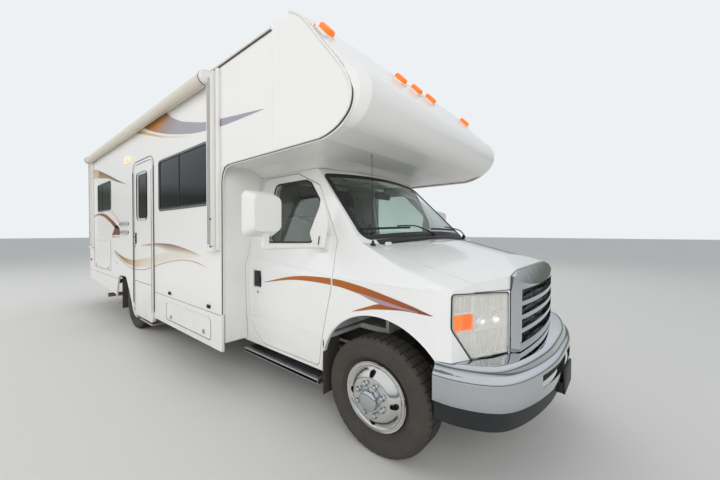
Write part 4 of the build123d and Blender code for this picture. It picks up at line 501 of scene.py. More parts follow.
def rounded_outline(x0, x1, z0, z1, corner, y, steps=6):
    """A rounded rectangle on one side of the coach, as points in order."""
    points = []
    for cx, cz, start in ((x1 - corner, z1 - corner, 0), (x0 + corner, z1 - corner, 90),
                          (x0 + corner, z0 + corner, 180), (x1 - corner, z0 + corner, 270)):
        for step in range(steps + 1):
            angle = math.radians(start + 90 * step / steps)
            points.append(at(cx + corner * math.cos(angle), y, cz + corner * math.sin(angle)))
    return points


def turned(work, profile, centre, axis, steps=32):
    """A profile of (distance along the axis, radius) spun right round."""
    axis = Vector(axis).normalized()
    across = axis.orthogonal().normalized()
    spin_round(work, [Vector(centre) + axis * along + across * radius for along, radius in profile],
               centre, axis, steps)


def spin_round(work, points, centre, axis, steps, closed=False):
    """A line of points spun right round an axis."""
    verts = [work.verts.new(point) for point in points]
    edges = [work.edges.new(pair) for pair in zip(verts, verts[1:] + verts[:1] if closed else verts[1:])]
    bmesh.ops.spin(work, geom=verts + edges, cent=centre, axis=axis, angle=math.tau, steps=steps,
                   use_merge=True)
    bmesh.ops.remove_doubles(work, verts=work.verts, dist=WELD)
    bmesh.ops.recalc_face_normals(work, faces=work.faces)


def spun(name, profile, spots, axis, body="root", finish="abs", steps=32, bend=35):
    """One piece with the same turned form at each spot."""
    work = bmesh.new()
    for spot in spots:
        turned(work, profile, spot, axis, steps)
    return keep(work, name, body, finish, bend)


def drawn_sheet(work, line, way):
    """A sheet between a line of points and the same line moved along a vector."""
    verts = [work.verts.new(point) for point in line]
    edges = [work.edges.new(pair) for pair in zip(verts, verts[1:])]
    shifted(work, bmesh.ops.extrude_edge_only(work, edges=edges), way)


def thickened(work, thickness):
    """Give a sheet its thickness."""
    bmesh.ops.recalc_face_normals(work, faces=work.faces)
    bmesh.ops.solidify(work, geom=list(work.faces), thickness=thickness)


def without(work, unwanted):
    """Delete the faces for which unwanted holds."""
    bmesh.ops.delete(work, geom=[face for face in work.faces if unwanted(face)], context="FACES")
    return work


def bar_mesh(name, points, radius, closed, curved, sides):
    """The mesh of a round bar through the points."""
    curve = bpy.data.curves.new(name, "CURVE")
    curve.dimensions = "3D"
    curve.bevel_depth = radius
    curve.bevel_resolution = sides
    curve.use_fill_caps = not closed
    spline = curve.splines.new("NURBS" if curved else "POLY")
    spline.points.add(len(points) - 1)
    for knot, point in zip(spline.points, points):
        knot.co = (*point, 1)
    if curved:
        spline.order_u = 3
        spline.use_endpoint_u = not closed
    spline.use_cyclic_u = closed
    holder = bpy.data.objects.new(name, curve)
    mesh = bpy.data.meshes.new_from_object(holder)
    bpy.data.objects.remove(holder)
    bpy.data.curves.remove(curve)
    return mesh


def bars(name, runs, radius, body="root", finish="abs", closed=False, curved=False, sides=3):
    """One piece of round bars, one through each run of points."""
    work = bmesh.new()
    for points in runs:
        mesh = bar_mesh(name, points, radius, closed, curved, sides)
        work.from_mesh(mesh)
        bpy.data.meshes.remove(mesh)
    return keep(work, name, body, finish)


def surface_of(*names):
    """The faces of some CAD nodes as a tree to cast rays at."""
    points, faces = [], []
    for name in names:
        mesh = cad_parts[name].data
        start = len(points)
        points += [vert.co.copy() for vert in mesh.vertices]
        faces += [[start + corner for corner in face.vertices] for face in mesh.polygons]
    return BVHTree.FromPolygons(points, faces)


def on_side(tree, side, x, z, lift=0.0):
    """The point on a side of the vehicle at (x, z), or None where nothing is there."""
    hit, normal, _, _ = tree.ray_cast(at(x, side * BESIDE, z), Vector((0, -side, 0)), SIDE_REACH)
    return hit and hit + normal * lift


def from_above(tree, x, y, reach=1.1):
    """What lies under (x, y) at the height of the cowl and the fenders: its point and normal."""
    return tree.ray_cast(at(x, y, ABOVE), Vector((0, 0, -1)), reach)[:2]


def settle(work, find):
    """Lay every point where find says, and drop those it finds no place for."""
    missed = []
    for vert in work.verts:
        spot = find(vert.co)
        if spot:
            vert.co = spot
        else:
            missed.append(vert)
    bmesh.ops.delete(work, geom=missed, context="VERTS")


def smooth_line(points, count):
    """Evenly numbered points along a smooth line through a few given ones."""
    points = [Vector(point) for point in points]
    ends = [points[0] * 2 - points[1], *points, points[-1] * 2 - points[-2]]
    line = []
    for step in range(count + 1):
        along = step / count * (len(points) - 1)
        first = min(int(along), len(points) - 2)
        t = along - first
        a, b, c, d = ends[first:first + 4]
        squared = (a * 2 - b * 5 + c * 4 - d) * t * t
        line.append((b * 2 + (c - a) * t + squared + (b * 3 - c * 3 + d - a) * t ** 3) / 2)
    return line


def cut_away(work, point, way):
    """Remove what lies beyond a plane."""
    geom = [*work.verts, *work.edges, *work.faces]
    bmesh.ops.bisect_plane(work, geom=geom, dist=0.00001, plane_co=point, plane_no=way, clear_outer=True)


def sheet_grid(columns, rows):
    """A flat grid, and the column and row of a point on it."""
    work = bmesh.new()
    bmesh.ops.create_grid(work, x_segments=columns, y_segments=rows, size=1)
    return work, lambda spot: ((spot.x + 1) / 2 * columns, (spot.y + 1) / 2 * rows)


def swoosh(name, side, lines, finish, body="root", span=(None, None), tree=None, lift=0.0):
    """A film stripe between an upper and a lower line (x, z), laid on the side of the vehicle."""
    out = FILM + lift
    work, cell = sheet_grid(STRIPE_STEPS, STRIPE_ROWS)
    top, foot = (smooth_line(line, STRIPE_STEPS) for line in lines)
    chart = work.loops.layers.uv.new("stripe")
    for face in work.faces:
        for loop in face.loops:
            loop[chart].uv = ((loop.vert.co.x + 1) / 2, (loop.vert.co.y + 1) / 2)
    for vert in work.verts:
        step = round(cell(vert.co)[0])
        place = foot[step].lerp(top[step], (vert.co.y + 1) / 2)
        vert.co = at(place.x, side * (WALL_Y + out), place.y)
    for x, way in zip(span, (-1, 1)):
        if x is not None:
            cut_away(work, at(x, 0, 0), (way, 0, 0))
    if tree:
        settle(work, lambda spot: on_side(tree, side, spot.x - AXLE_X, spot.z, out))
    for face in work.faces:
        face.normal_update()
        if face.normal.y * side < 0:
            face.normal_flip()
    return keep(work, name, body, finish)


# Coach: trims, windows and fittings on its walls

CAP_EDGE = ((-0.496, 2.915), (-0.372, 2.818), (-0.200, 2.590), (-0.062, 2.410), (0.000, 2.300),
            (0.022, 2.212), (0.000, 2.130), (-0.070, 2.064), (-0.150, 2.028), (-0.222, 2.012),
            (-0.700, 2.011), (-1.270, 2.011), (-1.345, 1.995), (-1.390, 1.935), (-1.404, 1.860),
            (-1.404, 1.300), (-1.404, 0.700))
CAP_CURVED = 10
ROLL_CENTRE = (-1.318, 2.808)
ROLL_R = 0.056
LATCH = [(0, 0), (0, 0.024), (0.005, 0.024), (0.007, 0.020), (0.004, 0.017), (0.004, 0.006), (0.008, 0.005),
         (0.008, 0)]


def coach_trims(hand, side):
    """Edge beads, roof rail, seams and corner trims of one side of the coach."""
    y = side * WALL_Y
    profile = run(*((x, y, z) for x, z in CAP_EDGE))
    edge = smooth_line(profile[:CAP_CURVED], 40) + profile[CAP_CURVED:]
    bars(f"cap_bead_{hand}", [edge], 0.0085, sides=4)
    over_cab = at(-0.3, 0, 0).x
    inner = [point + Vector((0.016 if point.x > over_cab else 0.0096, side * -0.012, -0.012))
             for point in edge]
    bars(f"cap_bead_inner_{hand}", [inner[4:]], 0.007, sides=4)
    groove = [point + Vector((0.008, side * -0.004, -0.006)) for point in edge]
    bars(f"cap_bead_gap_{hand}", [groove[4:]], 0.0062, finish="sealant", sides=2)
    bars(f"roof_rail_{hand}", [run((-6.515, y, 2.893), (-0.700, y, 2.893))], 0.013, sides=4)
    proud = side * (WALL_Y + 0.004)
    groove = run((-6.515, proud, 2.872), (-0.690, proud, 2.872))
    bars(f"roof_rail_groove_{hand}", [groove], 0.006, finish="sealant")
    bars(f"cap_seam_{hand}", [run((-0.676, y, 2.03), (-0.676, y, 2.868))], 0.0035, finish="gel_coat")
    sunk = side * (WALL_Y - 0.003)
    bars(f"rear_corner_{hand}", [run((-6.517, sunk, 0.52), (-6.517, sunk, 2.90))], 0.014, sides=4)
    ahead = [(-3.885, -3.80), (-3.045, -1.42)] if side < 0 else [(-3.885, -1.42)]
    seam = [run((x0, y, 0.680), (x1, y, 0.680)) for x0, x1 in [(-6.50, -4.62), *ahead]]
    bars(f"belt_seam_{hand}", seam, 0.0022, finish="sealant")


def window_dividers():
    """The upright bars between a window's fixed pane and its slider, with the sill each stands on."""
    parts = [((x - 0.011, side * 1.237, z0), (x + 0.011, side * 1.249, z1), 0.003)
             for side, x, z0, z1 in ((-1, -2.294, 1.69, 2.26), (-1, -5.60, 1.81, 2.27),
                                     (1, -2.40, 1.69, 2.26), (1, -5.43, 1.69, 2.26))]
    parts += [((x0, side * 1.236, z - 0.010), (x1, side * 1.252, z + 0.010), 0.003)
              for side, x0, x1, z in ((-1, -2.85, -1.65, 1.700), (1, -3.03, -1.77, 1.700),
                                      (-1, -5.86, -4.99, 1.817), (1, -5.86, -4.99, 1.700))]
    parts.append(((REAR_WALL_X - 0.002, -0.011, 1.73), (REAR_WALL_X + 0.009, 0.011, 2.17), 0.003))
    blocks("window_dividers", parts, finish="black")


def entry_door_trims():
    """The entry door's edge frame, hinge extrusion, window frame, paddle handle and lock."""
    door = "entry_door"
    face = -(WALL_Y + 0.0002)
    sill = 0.40
    edge = rounded_outline(-3.779, -3.066, 0.271, 2.342, 0.092, face)
    framed("entry_door_edge", [edge], 0.026, (0, -0.005, 0), door)
    work = bmesh.new()
    surround = rounded_outline(-3.822, -3.023, 0.300, 2.385, 0.130, face)
    frame_strip(work, surround, 0.034, Vector((0, -0.010, 0)))
    cut_away(work, at(0, 0, sill), (0, 0, -1))
    bmesh.ops.holes_fill(work, edges=[edge for edge in work.edges if edge.is_boundary], sides=4)
    keep(work, "entry_door_surround")
    outline = [point for point in rounded_outline(-3.824, -3.021, 0.300, 2.387, 0.132, face) if point.z > sill]
    front_foot = [point for point in outline if point.z < 0.6 and point.x > at(-3.4, 0, 0).x]
    gap = front_foot + [point for point in outline if point not in front_foot]
    bars("entry_door_gap", [gap], 0.0030, finish="window_grey")
    ribs = [((x - 0.0025, face - 0.009, sill), (x + 0.0025, face, 2.21), 0.002)
            for x in (-3.092, -3.100, -3.108)]
    blocks("entry_hinge_ribs", ribs, door, "aluminium")
    window = rounded_outline(-3.652, -3.259, 1.584, 2.222, 0.062, face)
    framed("entry_window_frame", [window], 0.030, (0, -0.012, 0), door, "window_grey")
    plate = ((-3.772, face - 0.014, 1.262), (-3.688, face, 1.412), 0.008)
    blocks("entry_handle_plate", [plate], door, "black")
    paddle = ((-3.752, face - 0.026, 1.290), (-3.712, face - 0.016, 1.385), 0.004)
    blocks("entry_handle_paddle", [paddle], door, "chromium")
    lock = [(0, 0.0), (0, 0.019), (0.007, 0.017), (0.009, 0.008), (0.007, 0.0)]
    spun("entry_lock", lock, [at(-3.758, face, 1.225)], (0, -1, 0), door, "chromium")
    bars("entry_door_rub", [run((-3.765, face, 0.745), (-3.120, face, 0.745))], 0.003, door, "sealant")


def louvred_vent(name, side, x0, x1, z0, z1, slats):
    """A moulded vent: a raised frame round a row of drooping slats over a dark back."""
    face = side * WALL_Y
    rim = 0.016
    work = bmesh.new()
    frame_strip(work, rounded_outline(x0, x1, z0, z1, 0.014, face, 3), rim, Vector((0, side, 0)) * 0.010)
    pitch = (z1 - z0 - 0.032) / slats
    for row in range(slats):
        z = z0 + rim + pitch * (row + 0.5)
        low = at(x0 + 0.014, face + side * 0.001, z - pitch * 0.30)
        high = at(x1 - 0.014, face + side * 0.010, z + pitch * 0.12)
        rounded_block(work, low, high, 0.002)
    keep(work, name)
    back = ((x0 + 0.012, face, z0 + 0.012), (x1 - 0.012, face + side * 0.002, z1 - 0.012), 0.0008)
    blocks(f"{name}_back", [back], finish="aluminium")


def wall_fittings():
    """Porch lamp, vents, water and power caps, catches and latches of the two walls."""
    for name, *place in (("fan_vent_upper", -1, -4.476, -4.043, 1.515, 1.575, 3),
                         ("fan_vent_lower", -1, -4.476, -4.043, 1.388, 1.446, 3),
                         ("fridge_vent_low", 1, -4.62, -4.10, 0.86, 1.20, 8),
                         ("fridge_vent_high", 1, -3.50, -3.16, 2.34, 2.56, 6),
                         ("heater_vent", 1, -2.95, -2.62, 0.90, 1.18, 6)):
        louvred_vent(name, *place)
    for name, side, x, z, r in (
            ("water_inlet", -1, -4.790, 1.128, 0.026), ("drain_cap", -1, -4.665, 0.955, 0.034),
            ("power_cap", -1, -4.745, 0.975, 0.020), ("fuel_cap", 1, -2.20, 0.93, 0.060),
            ("water_fill", 1, -3.42, 1.05, 0.045), ("cord_cap", 1, -4.88, 0.92, 0.050)):
        profile = [(0, r * 0.98), (0.008, r), (0.013, r * 0.92), (0.009, r * 0.72), (0.010, r * 0.2),
                   (0.010, 0)]
        spun(name, profile, [at(x, side * WALL_Y, z)], (0, side, 0))
    lamp = ((-4.130, -WALL_Y - 0.030, 2.420), (-3.920, -WALL_Y, 2.520), 0.030, 4)
    blocks("porch_lamp", [lamp], finish="warm_lens")
    for name, hatch, side, spots in (
            ("front_locker", "hatch_front_right", -1, ((-2.520, 0.459), (-1.742, 0.468))),
            ("rear_locker", "hatch_rear_right", -1, ((-6.05, 0.808), (-5.182, 0.808))),
            ("left_locker", "hatch_left", 1, ((-6.05, 0.808), (-5.182, 0.808)))):
        low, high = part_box(hatch)
        outline = rounded_outline(low[0] - AXLE_X + 0.003, high[0] - AXLE_X - 0.003,
                                  low[2] + 0.003, high[2] - 0.022, 0.035, side * WALL_Y)
        framed(f"{name}_edge", [outline], 0.012, (0, side * 0.003, 0), hatch)
        bars(f"{name}_gap", [outline], 0.0022, hatch, "window_grey", closed=True)
        for number, (x, z) in enumerate(spots):
            spun(f"{name}_latch_{number}", LATCH, [at(x, side * WALL_Y, z)], (0, side, 0), hatch, "chromium")
    catches = []
    for x in (-2.544, -1.633):
        catches.append(((x - 0.030, -WALL_Y - 0.014, 0.712), (x + 0.030, -WALL_Y, 0.746), 0.006))
        catches.append(((x + 0.004, -WALL_Y - 0.022, 0.718), (x + 0.022, -WALL_Y - 0.012, 0.740), 0.004))
    blocks("hatch_catches", catches, finish="black")


def rear_wall_trims():
    """The rear wall's seams, lamp bezels, holder with its blank plate, lamp bases and window edge."""
    x = REAR_WALL_X
    seams = [run((x, -1.235, z), (x, 1.235, z)) for z in (0.700, 2.870)]
    bars("rear_seams", seams, 0.004, finish="sealant")
    lamp = ((0.935, 0.745), (0.935, 0.915), (1.165, 0.915), (1.165, 0.745))
    bezels = [run(*((x - 0.030, side * y, z) for y, z in lamp)) for side in (-1, 1)]
    framed("tail_lamp_bezels", bezels, 0.016, (0.030, 0, 0), finish="chromium")
    blocks("plate_holder", [((x - 0.012, -0.170, 0.86), (x, 0.170, 1.04), 0.004)], finish="black")
    plate = ((x - 0.016, -0.152, 0.872), (x - 0.012, 0.152, 1.024), 0.0015)
    blocks("blank_plate", [plate], finish="white_enamel")
    bases = [((x - 0.008, y - 0.050, 2.772), (x, y + 0.050, 2.820), 0.003)
             for y in (-1.10, -0.15, 0, 0.15, 1.10)]
    blocks("rear_marker_bases", bases)
    window = run(*((x - 0.006, y, z) for y, z in ((-0.44, 1.68), (-0.44, 2.22), (0.44, 2.22), (0.44, 1.68))))
    framed("rear_window_edge", [window], 0.020, (-0.004, 0, 0), finish="black")


def awning_details():
    """The rolled fabric with its end caps, and the grooves, rails, feet and knobs of the arms."""
    y, z = ROLL_CENTRE
    steps = 40
    roll = []
    for step in range(steps + 1):
        angle = math.tau * step / steps
        radius = ROLL_R + 0.0008 + 0.0045 * step / steps
        roll.append(at(-6.245, y - radius * math.sin(angle), z - radius * math.cos(angle)))
    work = bmesh.new()
    drawn_sheet(work, roll, Vector((4.66, 0, 0)))
    thickened(work, 0.0008)
    keep(work, "awning_fabric_roll", finish="awning_cloth", bend=60)
    cap = [(0, 0), (0, 0.0625), (0.010, 0.064), (0.030, 0.062), (0.036, 0.052), (0.032, 0.040), (0.032, 0)]
    ring = [(-0.004, 0.060), (-0.004, 0.0652), (0.006, 0.0652), (0.006, 0.060), (-0.004, 0.060)]
    for name, x, way in (("front", -1.565, 1), ("rear", -6.262, -1)):
        spun(f"awning_end_cap_{name}", cap, [at(x, y, z)], (way, 0, 0))
        spun(f"awning_cap_ring_{name}", ring, [at(x, y, z)], (way, 0, 0), finish="sealant")
    out = -WALL_Y - 0.062
    knob = [(0, 0), (0, 0.009), (0.006, 0.009), (0.008, 0.006), (0.008, 0)]
    for name, x, foot in (("front", -1.560, 1.262), ("rear", -6.320, 1.130)):
        grooves = [run((x + share, out - 0.0005, foot + 0.05), (x + share, out - 0.0005, 2.79))
                   for share in (0.030, 0.050, 0.070)]
        bars(f"awning_arm_grooves_{name}", grooves, 0.0028, finish="sealant")
        rails = [((x + share - 0.003, out - 0.003, foot + 0.045),
                  (x + share + 0.003, out + 0.004, 2.795), 0.0015) for share in (0.016, 0.040, 0.060, 0.084)]
        rails.append(((x - 0.004, out - 0.006, foot - 0.012), (x + 0.104, -WALL_Y, foot + 0.030), 0.008, 3))
        rails.append(((x + 0.112, -WALL_Y - 0.030, foot), (x + 0.150, -WALL_Y, 2.86), 0.006))
        blocks(f"awning_arm_rails_{name}", rails)
        knobs = run(*((x + 0.086, out - 0.004, foot + height) for height in (0.035, 0.278)))
        spun(f"awning_arm_knobs_{name}", knob, knobs, (0, -1, 0), finish="black", steps=16)


def roof_details():
    """Louvres and ribs of the cooler's shroud, lids of the vents and the roof's seams."""
    low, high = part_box("roof_aircon")
    middle = (low[0] + high[0]) / 2
    work = bmesh.new()
    for row in range(7):
        x = low[0] + 0.055 + row * 0.022
        z = low[2] + 0.075 + row * 0.026
        for side in (-1, 1):
            rounded_block(work, (x, side * 0.035, z), (x + 0.014, side * 0.235, z + 0.006), 0.002)
    for side in (-1, 1):
        rounded_block(work, (middle - 0.30, side * 0.10, high[2] - 0.012),
                      (middle + 0.26, side * 0.13, high[2] - 0.001), 0.004)
    keep(work, "cooler_louvres")
    for name, x, y in (("rear", -5.650, 0.300), ("front", -2.100, 0.0)):
        lid = [((x - 0.212, y - 0.212, 2.962), (x + 0.212, y + 0.212, 3.012), 0.030, 4)]
        lid += [((x - 0.17, y + offset - 0.008, 3.008), (x + 0.17, y + offset + 0.008, 3.016), 0.003)
                for offset in (-0.10, 0.0, 0.10)]
        blocks(f"vent_lid_{name}", lid, finish="smoked_lid")
    seams = [run((x, -1.20, 2.9115), (x, 0, 2.9225), (x, 1.20, 2.9115)) for x in (-5.2, -3.95, -1.50)]
    bars("roof_cross_seams", seams, 0.004, finish="sealant", curved=True)


def clearance_lamps():
    """Five amber lamps that stand proud of the cap's sloping face, each on a white base."""
    tree = surface_of("overcab_cap")
    bases, lenses = bmesh.new(), bmesh.new()
    for y in (-1.190, -0.280, 0.0, 0.280, 1.190):
        hit, normal, _, _ = tree.ray_cast(at(1.5, y, 2.675), Vector((-1, 0, 0)), 3.0)
        place = Matrix.Translation(hit) @ Matrix.Rotation(math.atan2(normal.x, normal.z), 4, "Y")
        for work, low, high, radius in ((bases, (-0.066, -0.048, -0.010), (0.066, 0.048, 0.012), 0.008),
                                        (lenses, (-0.056, -0.039, 0.004), (0.056, 0.039, 0.046), 0.020)):
            start = len(work.verts)
            rounded_block(work, low, high, radius, 4)
            work.verts.ensure_lookup_table()
            bmesh.ops.transform(work, matrix=place, verts=work.verts[start:])
    keep(bases, "clearance_lamp_bases")
    keep(lenses, "clearance_lamp_lenses", finish="amber")


# Cab: nose, lamps, glass, doors and inside

LAMP_INNER = Vector((0.645, 0.580))
LAMP_OUTER = Vector((0.478, 0.966))
LAMP_OUTLINE = ((0.575, 0.728), (0.575, 1.072), (0.962, 1.086), (0.962, 0.905), (0.835, 0.728))
PRISM_ROWS = ((0.985, 1.066), (0.742, 0.864))
BULB_SHARES = (0.15, 0.43)
BULB_Z = 0.928
LENS_FACING, GLASS_FACING = 0.2, 0.5
BUMPER_PLAN = ((0.384, 0.990), (0.500, 0.979), (0.640, 0.920), (0.735, 0.812), (0.803, 0.600),
               (0.848, 0.300), (0.857, 0.000))
BUMPER_STEPS = 120
CHROME_SECTION = ((0.016, 0.503), (0.004, 0.500), (0.000, 0.506), (0.000, 0.560), (0.000, 0.632),
                  (0.001, 0.645), (0.006, 0.655), (0.016, 0.662), (0.027, 0.667), (0.033, 0.676),
                  (0.036, 0.695), (0.040, 0.710), (0.050, 0.719), (0.066, 0.722), (0.150, 0.722))
VALANCE_SECTION = ((0.075, 0.386), (0.045, 0.380), (0.033, 0.386), (0.030, 0.402), (0.030, 0.470),
                   (0.026, 0.496), (0.040, 0.503))
SLOT_HALF, SLOT_FOOT, SLOT_TOP = 0.540, 0.560, 0.632
CAB_WINDOW = ((-1.170, 1.335), (-1.170, 1.855), (-0.740, 1.855), (-0.520, 1.600), (-0.575, 1.350))
MIRROR_SAIL = ((-0.470, -0.956, 1.690), (-0.466, -0.974, 1.617), (-0.545, -1.000, 1.418),
               (-0.500, -1.003, 1.312), (-0.396, -1.000, 1.312), (-0.378, -0.984, 1.476),
               (-0.402, -0.966, 1.575))
DOOR_CREASE = ((-1.345, 1.196), (-1.145, 1.190), (-0.760, 1.150), (-0.352, 1.112))
DOOR_LOW_CREASE = ((-1.345, 0.655), (-0.900, 0.668), (-0.476, 0.669))
FENDER_CREASE = ((-0.310, 1.108), (0.060, 1.103), (0.429, 1.100))
COWL_HALF = 0.800
COWL_REAR, COWL_REAR_BOW = -0.014, 0.112 / 0.898 ** 2
COWL_FRONT, COWL_FRONT_BOW = 0.040, 0.092 / 0.812 ** 2
COWL_COLUMNS, COWL_ROWS = 64, 6
ARCH_CENTRE = (0.030, 0.420)
ARCH_R = 0.475
WIPER_BLADES = (((-0.179, -0.905, 1.433), (-0.130, -0.706, 1.443), (-0.074, -0.391, 1.449)),
                ((-0.038, -0.086, 1.440), (-0.042, 0.200, 1.440), (-0.068, 0.464, 1.432)))
WIPER_ARMS = (((-0.090, -0.560, 1.452), (-0.057, -0.429, 1.459), (-0.040, -0.313, 1.450),
               (-0.026, -0.072, 1.392)),
              ((-0.040, 0.180, 1.452), (-0.036, 0.369, 1.440), (-0.060, 0.656, 1.416),
               (-0.085, 0.800, 1.362)))


def lamp_point(side, share, z, depth=0.0):
    """A point behind a headlamp's sloping face; share runs from its inner end to its outer one."""
    along = LAMP_OUTER - LAMP_INNER
    back = Vector((-along.y, along.x)).normalized()
    spot = LAMP_INNER + along * share + back * depth
    return at(spot.x, side * spot.y, z)


def lamp_block(work, side, share0, share1, z0, z1, front, back, radius=0.0015):
    """A block that follows the headlamp's face, from one depth behind it to another."""
    outline = [lamp_point(side, share, z, front)
               for share, z in ((share0, z0), (share1, z0), (share1, z1), (share0, z1))]
    prism(work, outline, lamp_point(side, 0, 0, back) - lamp_point(side, 0, 0, front), radius)


def merged_copy(name):
    """A CAD node's mesh as a bmesh with its loose triangles joined."""
    work = bmesh.new()
    work.from_mesh(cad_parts[name].data)
    bmesh.ops.remove_doubles(work, verts=work.verts, dist=0.00002)
    return work


def headlamps():
    """Clear lens, metallised bowl with prisms, amber marker block, divider, bulbs and border."""
    lens = without(merged_copy("headlamps"), lambda face: face.normal.x < LENS_FACING)
    bmesh.ops.solidify(lens, geom=list(lens.faces), thickness=0.003)
    keep(lens, "headlamp_lenses", finish="lens")
    bowl = without(merged_copy("headlamps"), lambda face: face.normal.x > LENS_FACING)
    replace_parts(keep(bowl, "headlamp_bowls", finish="reflector"), "headlamps")
    pieces = {name: (bmesh.new(), finish) for name, finish in (
        ("prisms", "reflector"), ("dividers", "reflector"), ("ambers", "amber"), ("side_ambers", "pale_amber"),
        ("cups", "reflector"), ("bulbs", "lens"))}
    blocks_of = [("prisms", 0.03 + step * 0.066, 0.03 + step * 0.066 + 0.016, z0, z1, 0.010, 0.055)
                 for z0, z1 in PRISM_ROWS for step in range(14)]
    blocks_of += [("dividers", -0.02, 0.97, 0.976, 0.982, 0.005, 0.055),
                  ("dividers", -0.02, 0.97, 0.874, 0.881, 0.005, 0.055),
                  ("dividers", 0.600, 0.618, 0.745, 1.075, 0.004, 0.055),
                  ("ambers", 0.630, 0.775, 0.890, 0.970, 0.010, 0.030, 0.004),
                  ("side_ambers", 0.780, 0.970, 0.890, 0.970, 0.008, 0.030, 0.004)]
    r = 0.034
    cup = [(0, 0.010), (0.004, r * 0.55), (0.022, r), (0.024, r), (0.008, r * 0.6), (0.002, 0.011)]
    bulb = [(0, 0.007), (0.018, 0.007), (0.026, 0.005), (0.030, 0)]
    for _, side in SIDES:
        for name, *place in blocks_of:
            lamp_block(pieces[name][0], side, *place)
        ahead = lamp_point(side, 0, 0, 0) - lamp_point(side, 0, 0, 1)
        for share in BULB_SHARES:
            middle = lamp_point(side, share, BULB_Z, 0.050)
            turned(pieces["cups"][0], cup, middle, ahead, 28)
            turned(pieces["bulbs"][0], bulb, middle, ahead, 16)
    for name, (work, finish) in pieces.items():
        keep(work, f"headlamp_{name}", finish=finish)
    corners = [Vector(corner) for corner in LAMP_OUTLINE]
    span = LAMP_OUTER.y - LAMP_INNER.y
    for name, margin, radius, finish in (("borders", 0.0, 0.0052, "chromium"),
                                         ("gaps", 0.0075, 0.0038, "gasket")):
        outline = soft_corners(offset_outline(corners, margin), 0.018)
        runs = [[lamp_point(side, (p.x - LAMP_INNER.y) / span, p.y, -0.0005) for p in outline]
                for _, side in SIDES]
        bars(f"headlamp_{name}", runs, radius, finish=finish, closed=True)


def grille():
    """Dark mesh and its wires behind the chromed bars."""
    blocks("grille_back", [((0.650, -0.545, 0.738), (0.660, 0.545, 1.100), 0.002)], finish="black")
    heights = [0.784 + row * 0.0125 for row in range(25)]
    wires = [run((0.663, -0.500, z), (0.663, 0.500, z)) for z in heights]
    bars("grille_wires", wires, 0.0016, finish="black", sides=1)


def plan_line(inset, z):
    """The bumper's plan line from left to right, moved inwards."""
    half = [Vector(point) for point in BUMPER_PLAN]
    line = smooth_line(half + [Vector((point.x, -point.y)) for point in half[-2::-1]], BUMPER_STEPS)
    moved = []
    for number, point in enumerate(line):
        along = line[min(number + 1, BUMPER_STEPS)] - line[max(number - 1, 0)]
        spot = point + Vector((along.y, -along.x)).normalized() * inset
        moved.append(at(spot.x, spot.y, z))
    return moved


def nose_band(section):
    """A sheet bowed round the nose: a section of (inset, z) carried along the bumper's plan line."""
    rows = [plan_line(inset, z) for inset, z in section]
    work, cell = sheet_grid(BUMPER_STEPS, len(section) - 1)
    for vert in work.verts:
        column, row = cell(vert.co)
        vert.co = rows[round(row)][round(column)]
    return work


def bumper():
    """Chromed bumper with its air slot and brackets, and the moulded valance with the plate's bracket."""
    def in_slot(face):
        middle = face.calc_center_median()
        return abs(middle.y) < SLOT_HALF and SLOT_FOOT < middle.z < SLOT_TOP

    work = without(nose_band(CHROME_SECTION), in_slot)
    thickened(work, 0.0025)
    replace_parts(keep(work, "chromed_bumper", finish="chromium", bend=50), "front_bumper")
    work = nose_band(VALANCE_SECTION)
    thickened(work, 0.004)
    rounded_block(work, at(0.824, -0.150, 0.402), at(0.862, 0.150, 0.470), 0.006)
    rounded_block(work, at(0.857, -0.152, 0.400), at(0.8695, 0.152, 0.545), 0.003)
    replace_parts(keep(work, "moulded_valance", finish="black"), "bumper_valance")
    work = nose_band(((0.050, SLOT_FOOT - 0.010), (0.050, SLOT_TOP + 0.010)))
    without(work, lambda face: abs(face.calc_center_median().y) > SLOT_HALF + 0.03)
    keep(work, "air_slot_back", finish="black")
    slats = [[point for point in plan_line(0.024, z) if abs(point.y) < SLOT_HALF + 0.02]
             for z in (0.574, 0.587, 0.600, 0.613)]
    bars("air_slot_slats", slats, 0.0042, finish="black", sides=2)
    horns = [((0.560, side * 0.500 - 0.03, 0.552), (0.790, side * 0.500 + 0.03, 0.640), 0.004)
             for _, side in SIDES]
    blocks("bumper_brackets", horns, finish="chassis")


def glass_details():
    """The windshield's dark band and moulding, its wipers, the cowl panel and the inner mirror."""
    band = without(merged_copy("windshield"), lambda face: face.normal.x <= GLASS_FACING)
    ring = set(inner_band(band, list(band.faces), 0.038))
    without(band, lambda face: face not in ring)
    bmesh.ops.translate(band, vec=(0.0006, 0, 0.0006), verts=band.verts)
    keep(band, "windshield_band", finish="gasket")
    edge = without(merged_copy("windshield"), lambda face: face.normal.x <= GLASS_FACING)
    bars("windshield_moulding", [boundary_line(edge)], 0.007, finish="gasket", closed=True)
    edge.free()
    raised = Vector((0.010, 0, 0.010))
    for name, lines, lift, radius, finish in (("blades", WIPER_BLADES, 1, 0.0065, "gasket"),
                                              ("backs", WIPER_BLADES, 1.6, 0.0035, "black"),
                                              ("arms", WIPER_ARMS, 1.9, 0.0055, "black")):
        runs = [[point + raised * lift for point in run(*line)] for line in lines]
        bars(f"wiper_{name}", runs, radius, finish=finish, curved=True)
    pivot = [(-0.020, 0), (-0.020, 0.016), (0.014, 0.016), (0.020, 0.010), (0.020, 0)]
    feet = [at(*line[-1]) + raised for line in WIPER_ARMS]
    spun("wiper_pivots", pivot, feet, (0.3, 0, 1), finish="black", steps=20)
    cowl_panel()
    blocks("inner_mirror", [((-0.560, -0.125, 1.735), (-0.540, 0.125, 1.800), 0.012, 3)], finish="black")
    bars("inner_mirror_stem", [run((-0.545, 0, 1.79), (-0.505, 0, 1.84))], 0.006, finish="black")


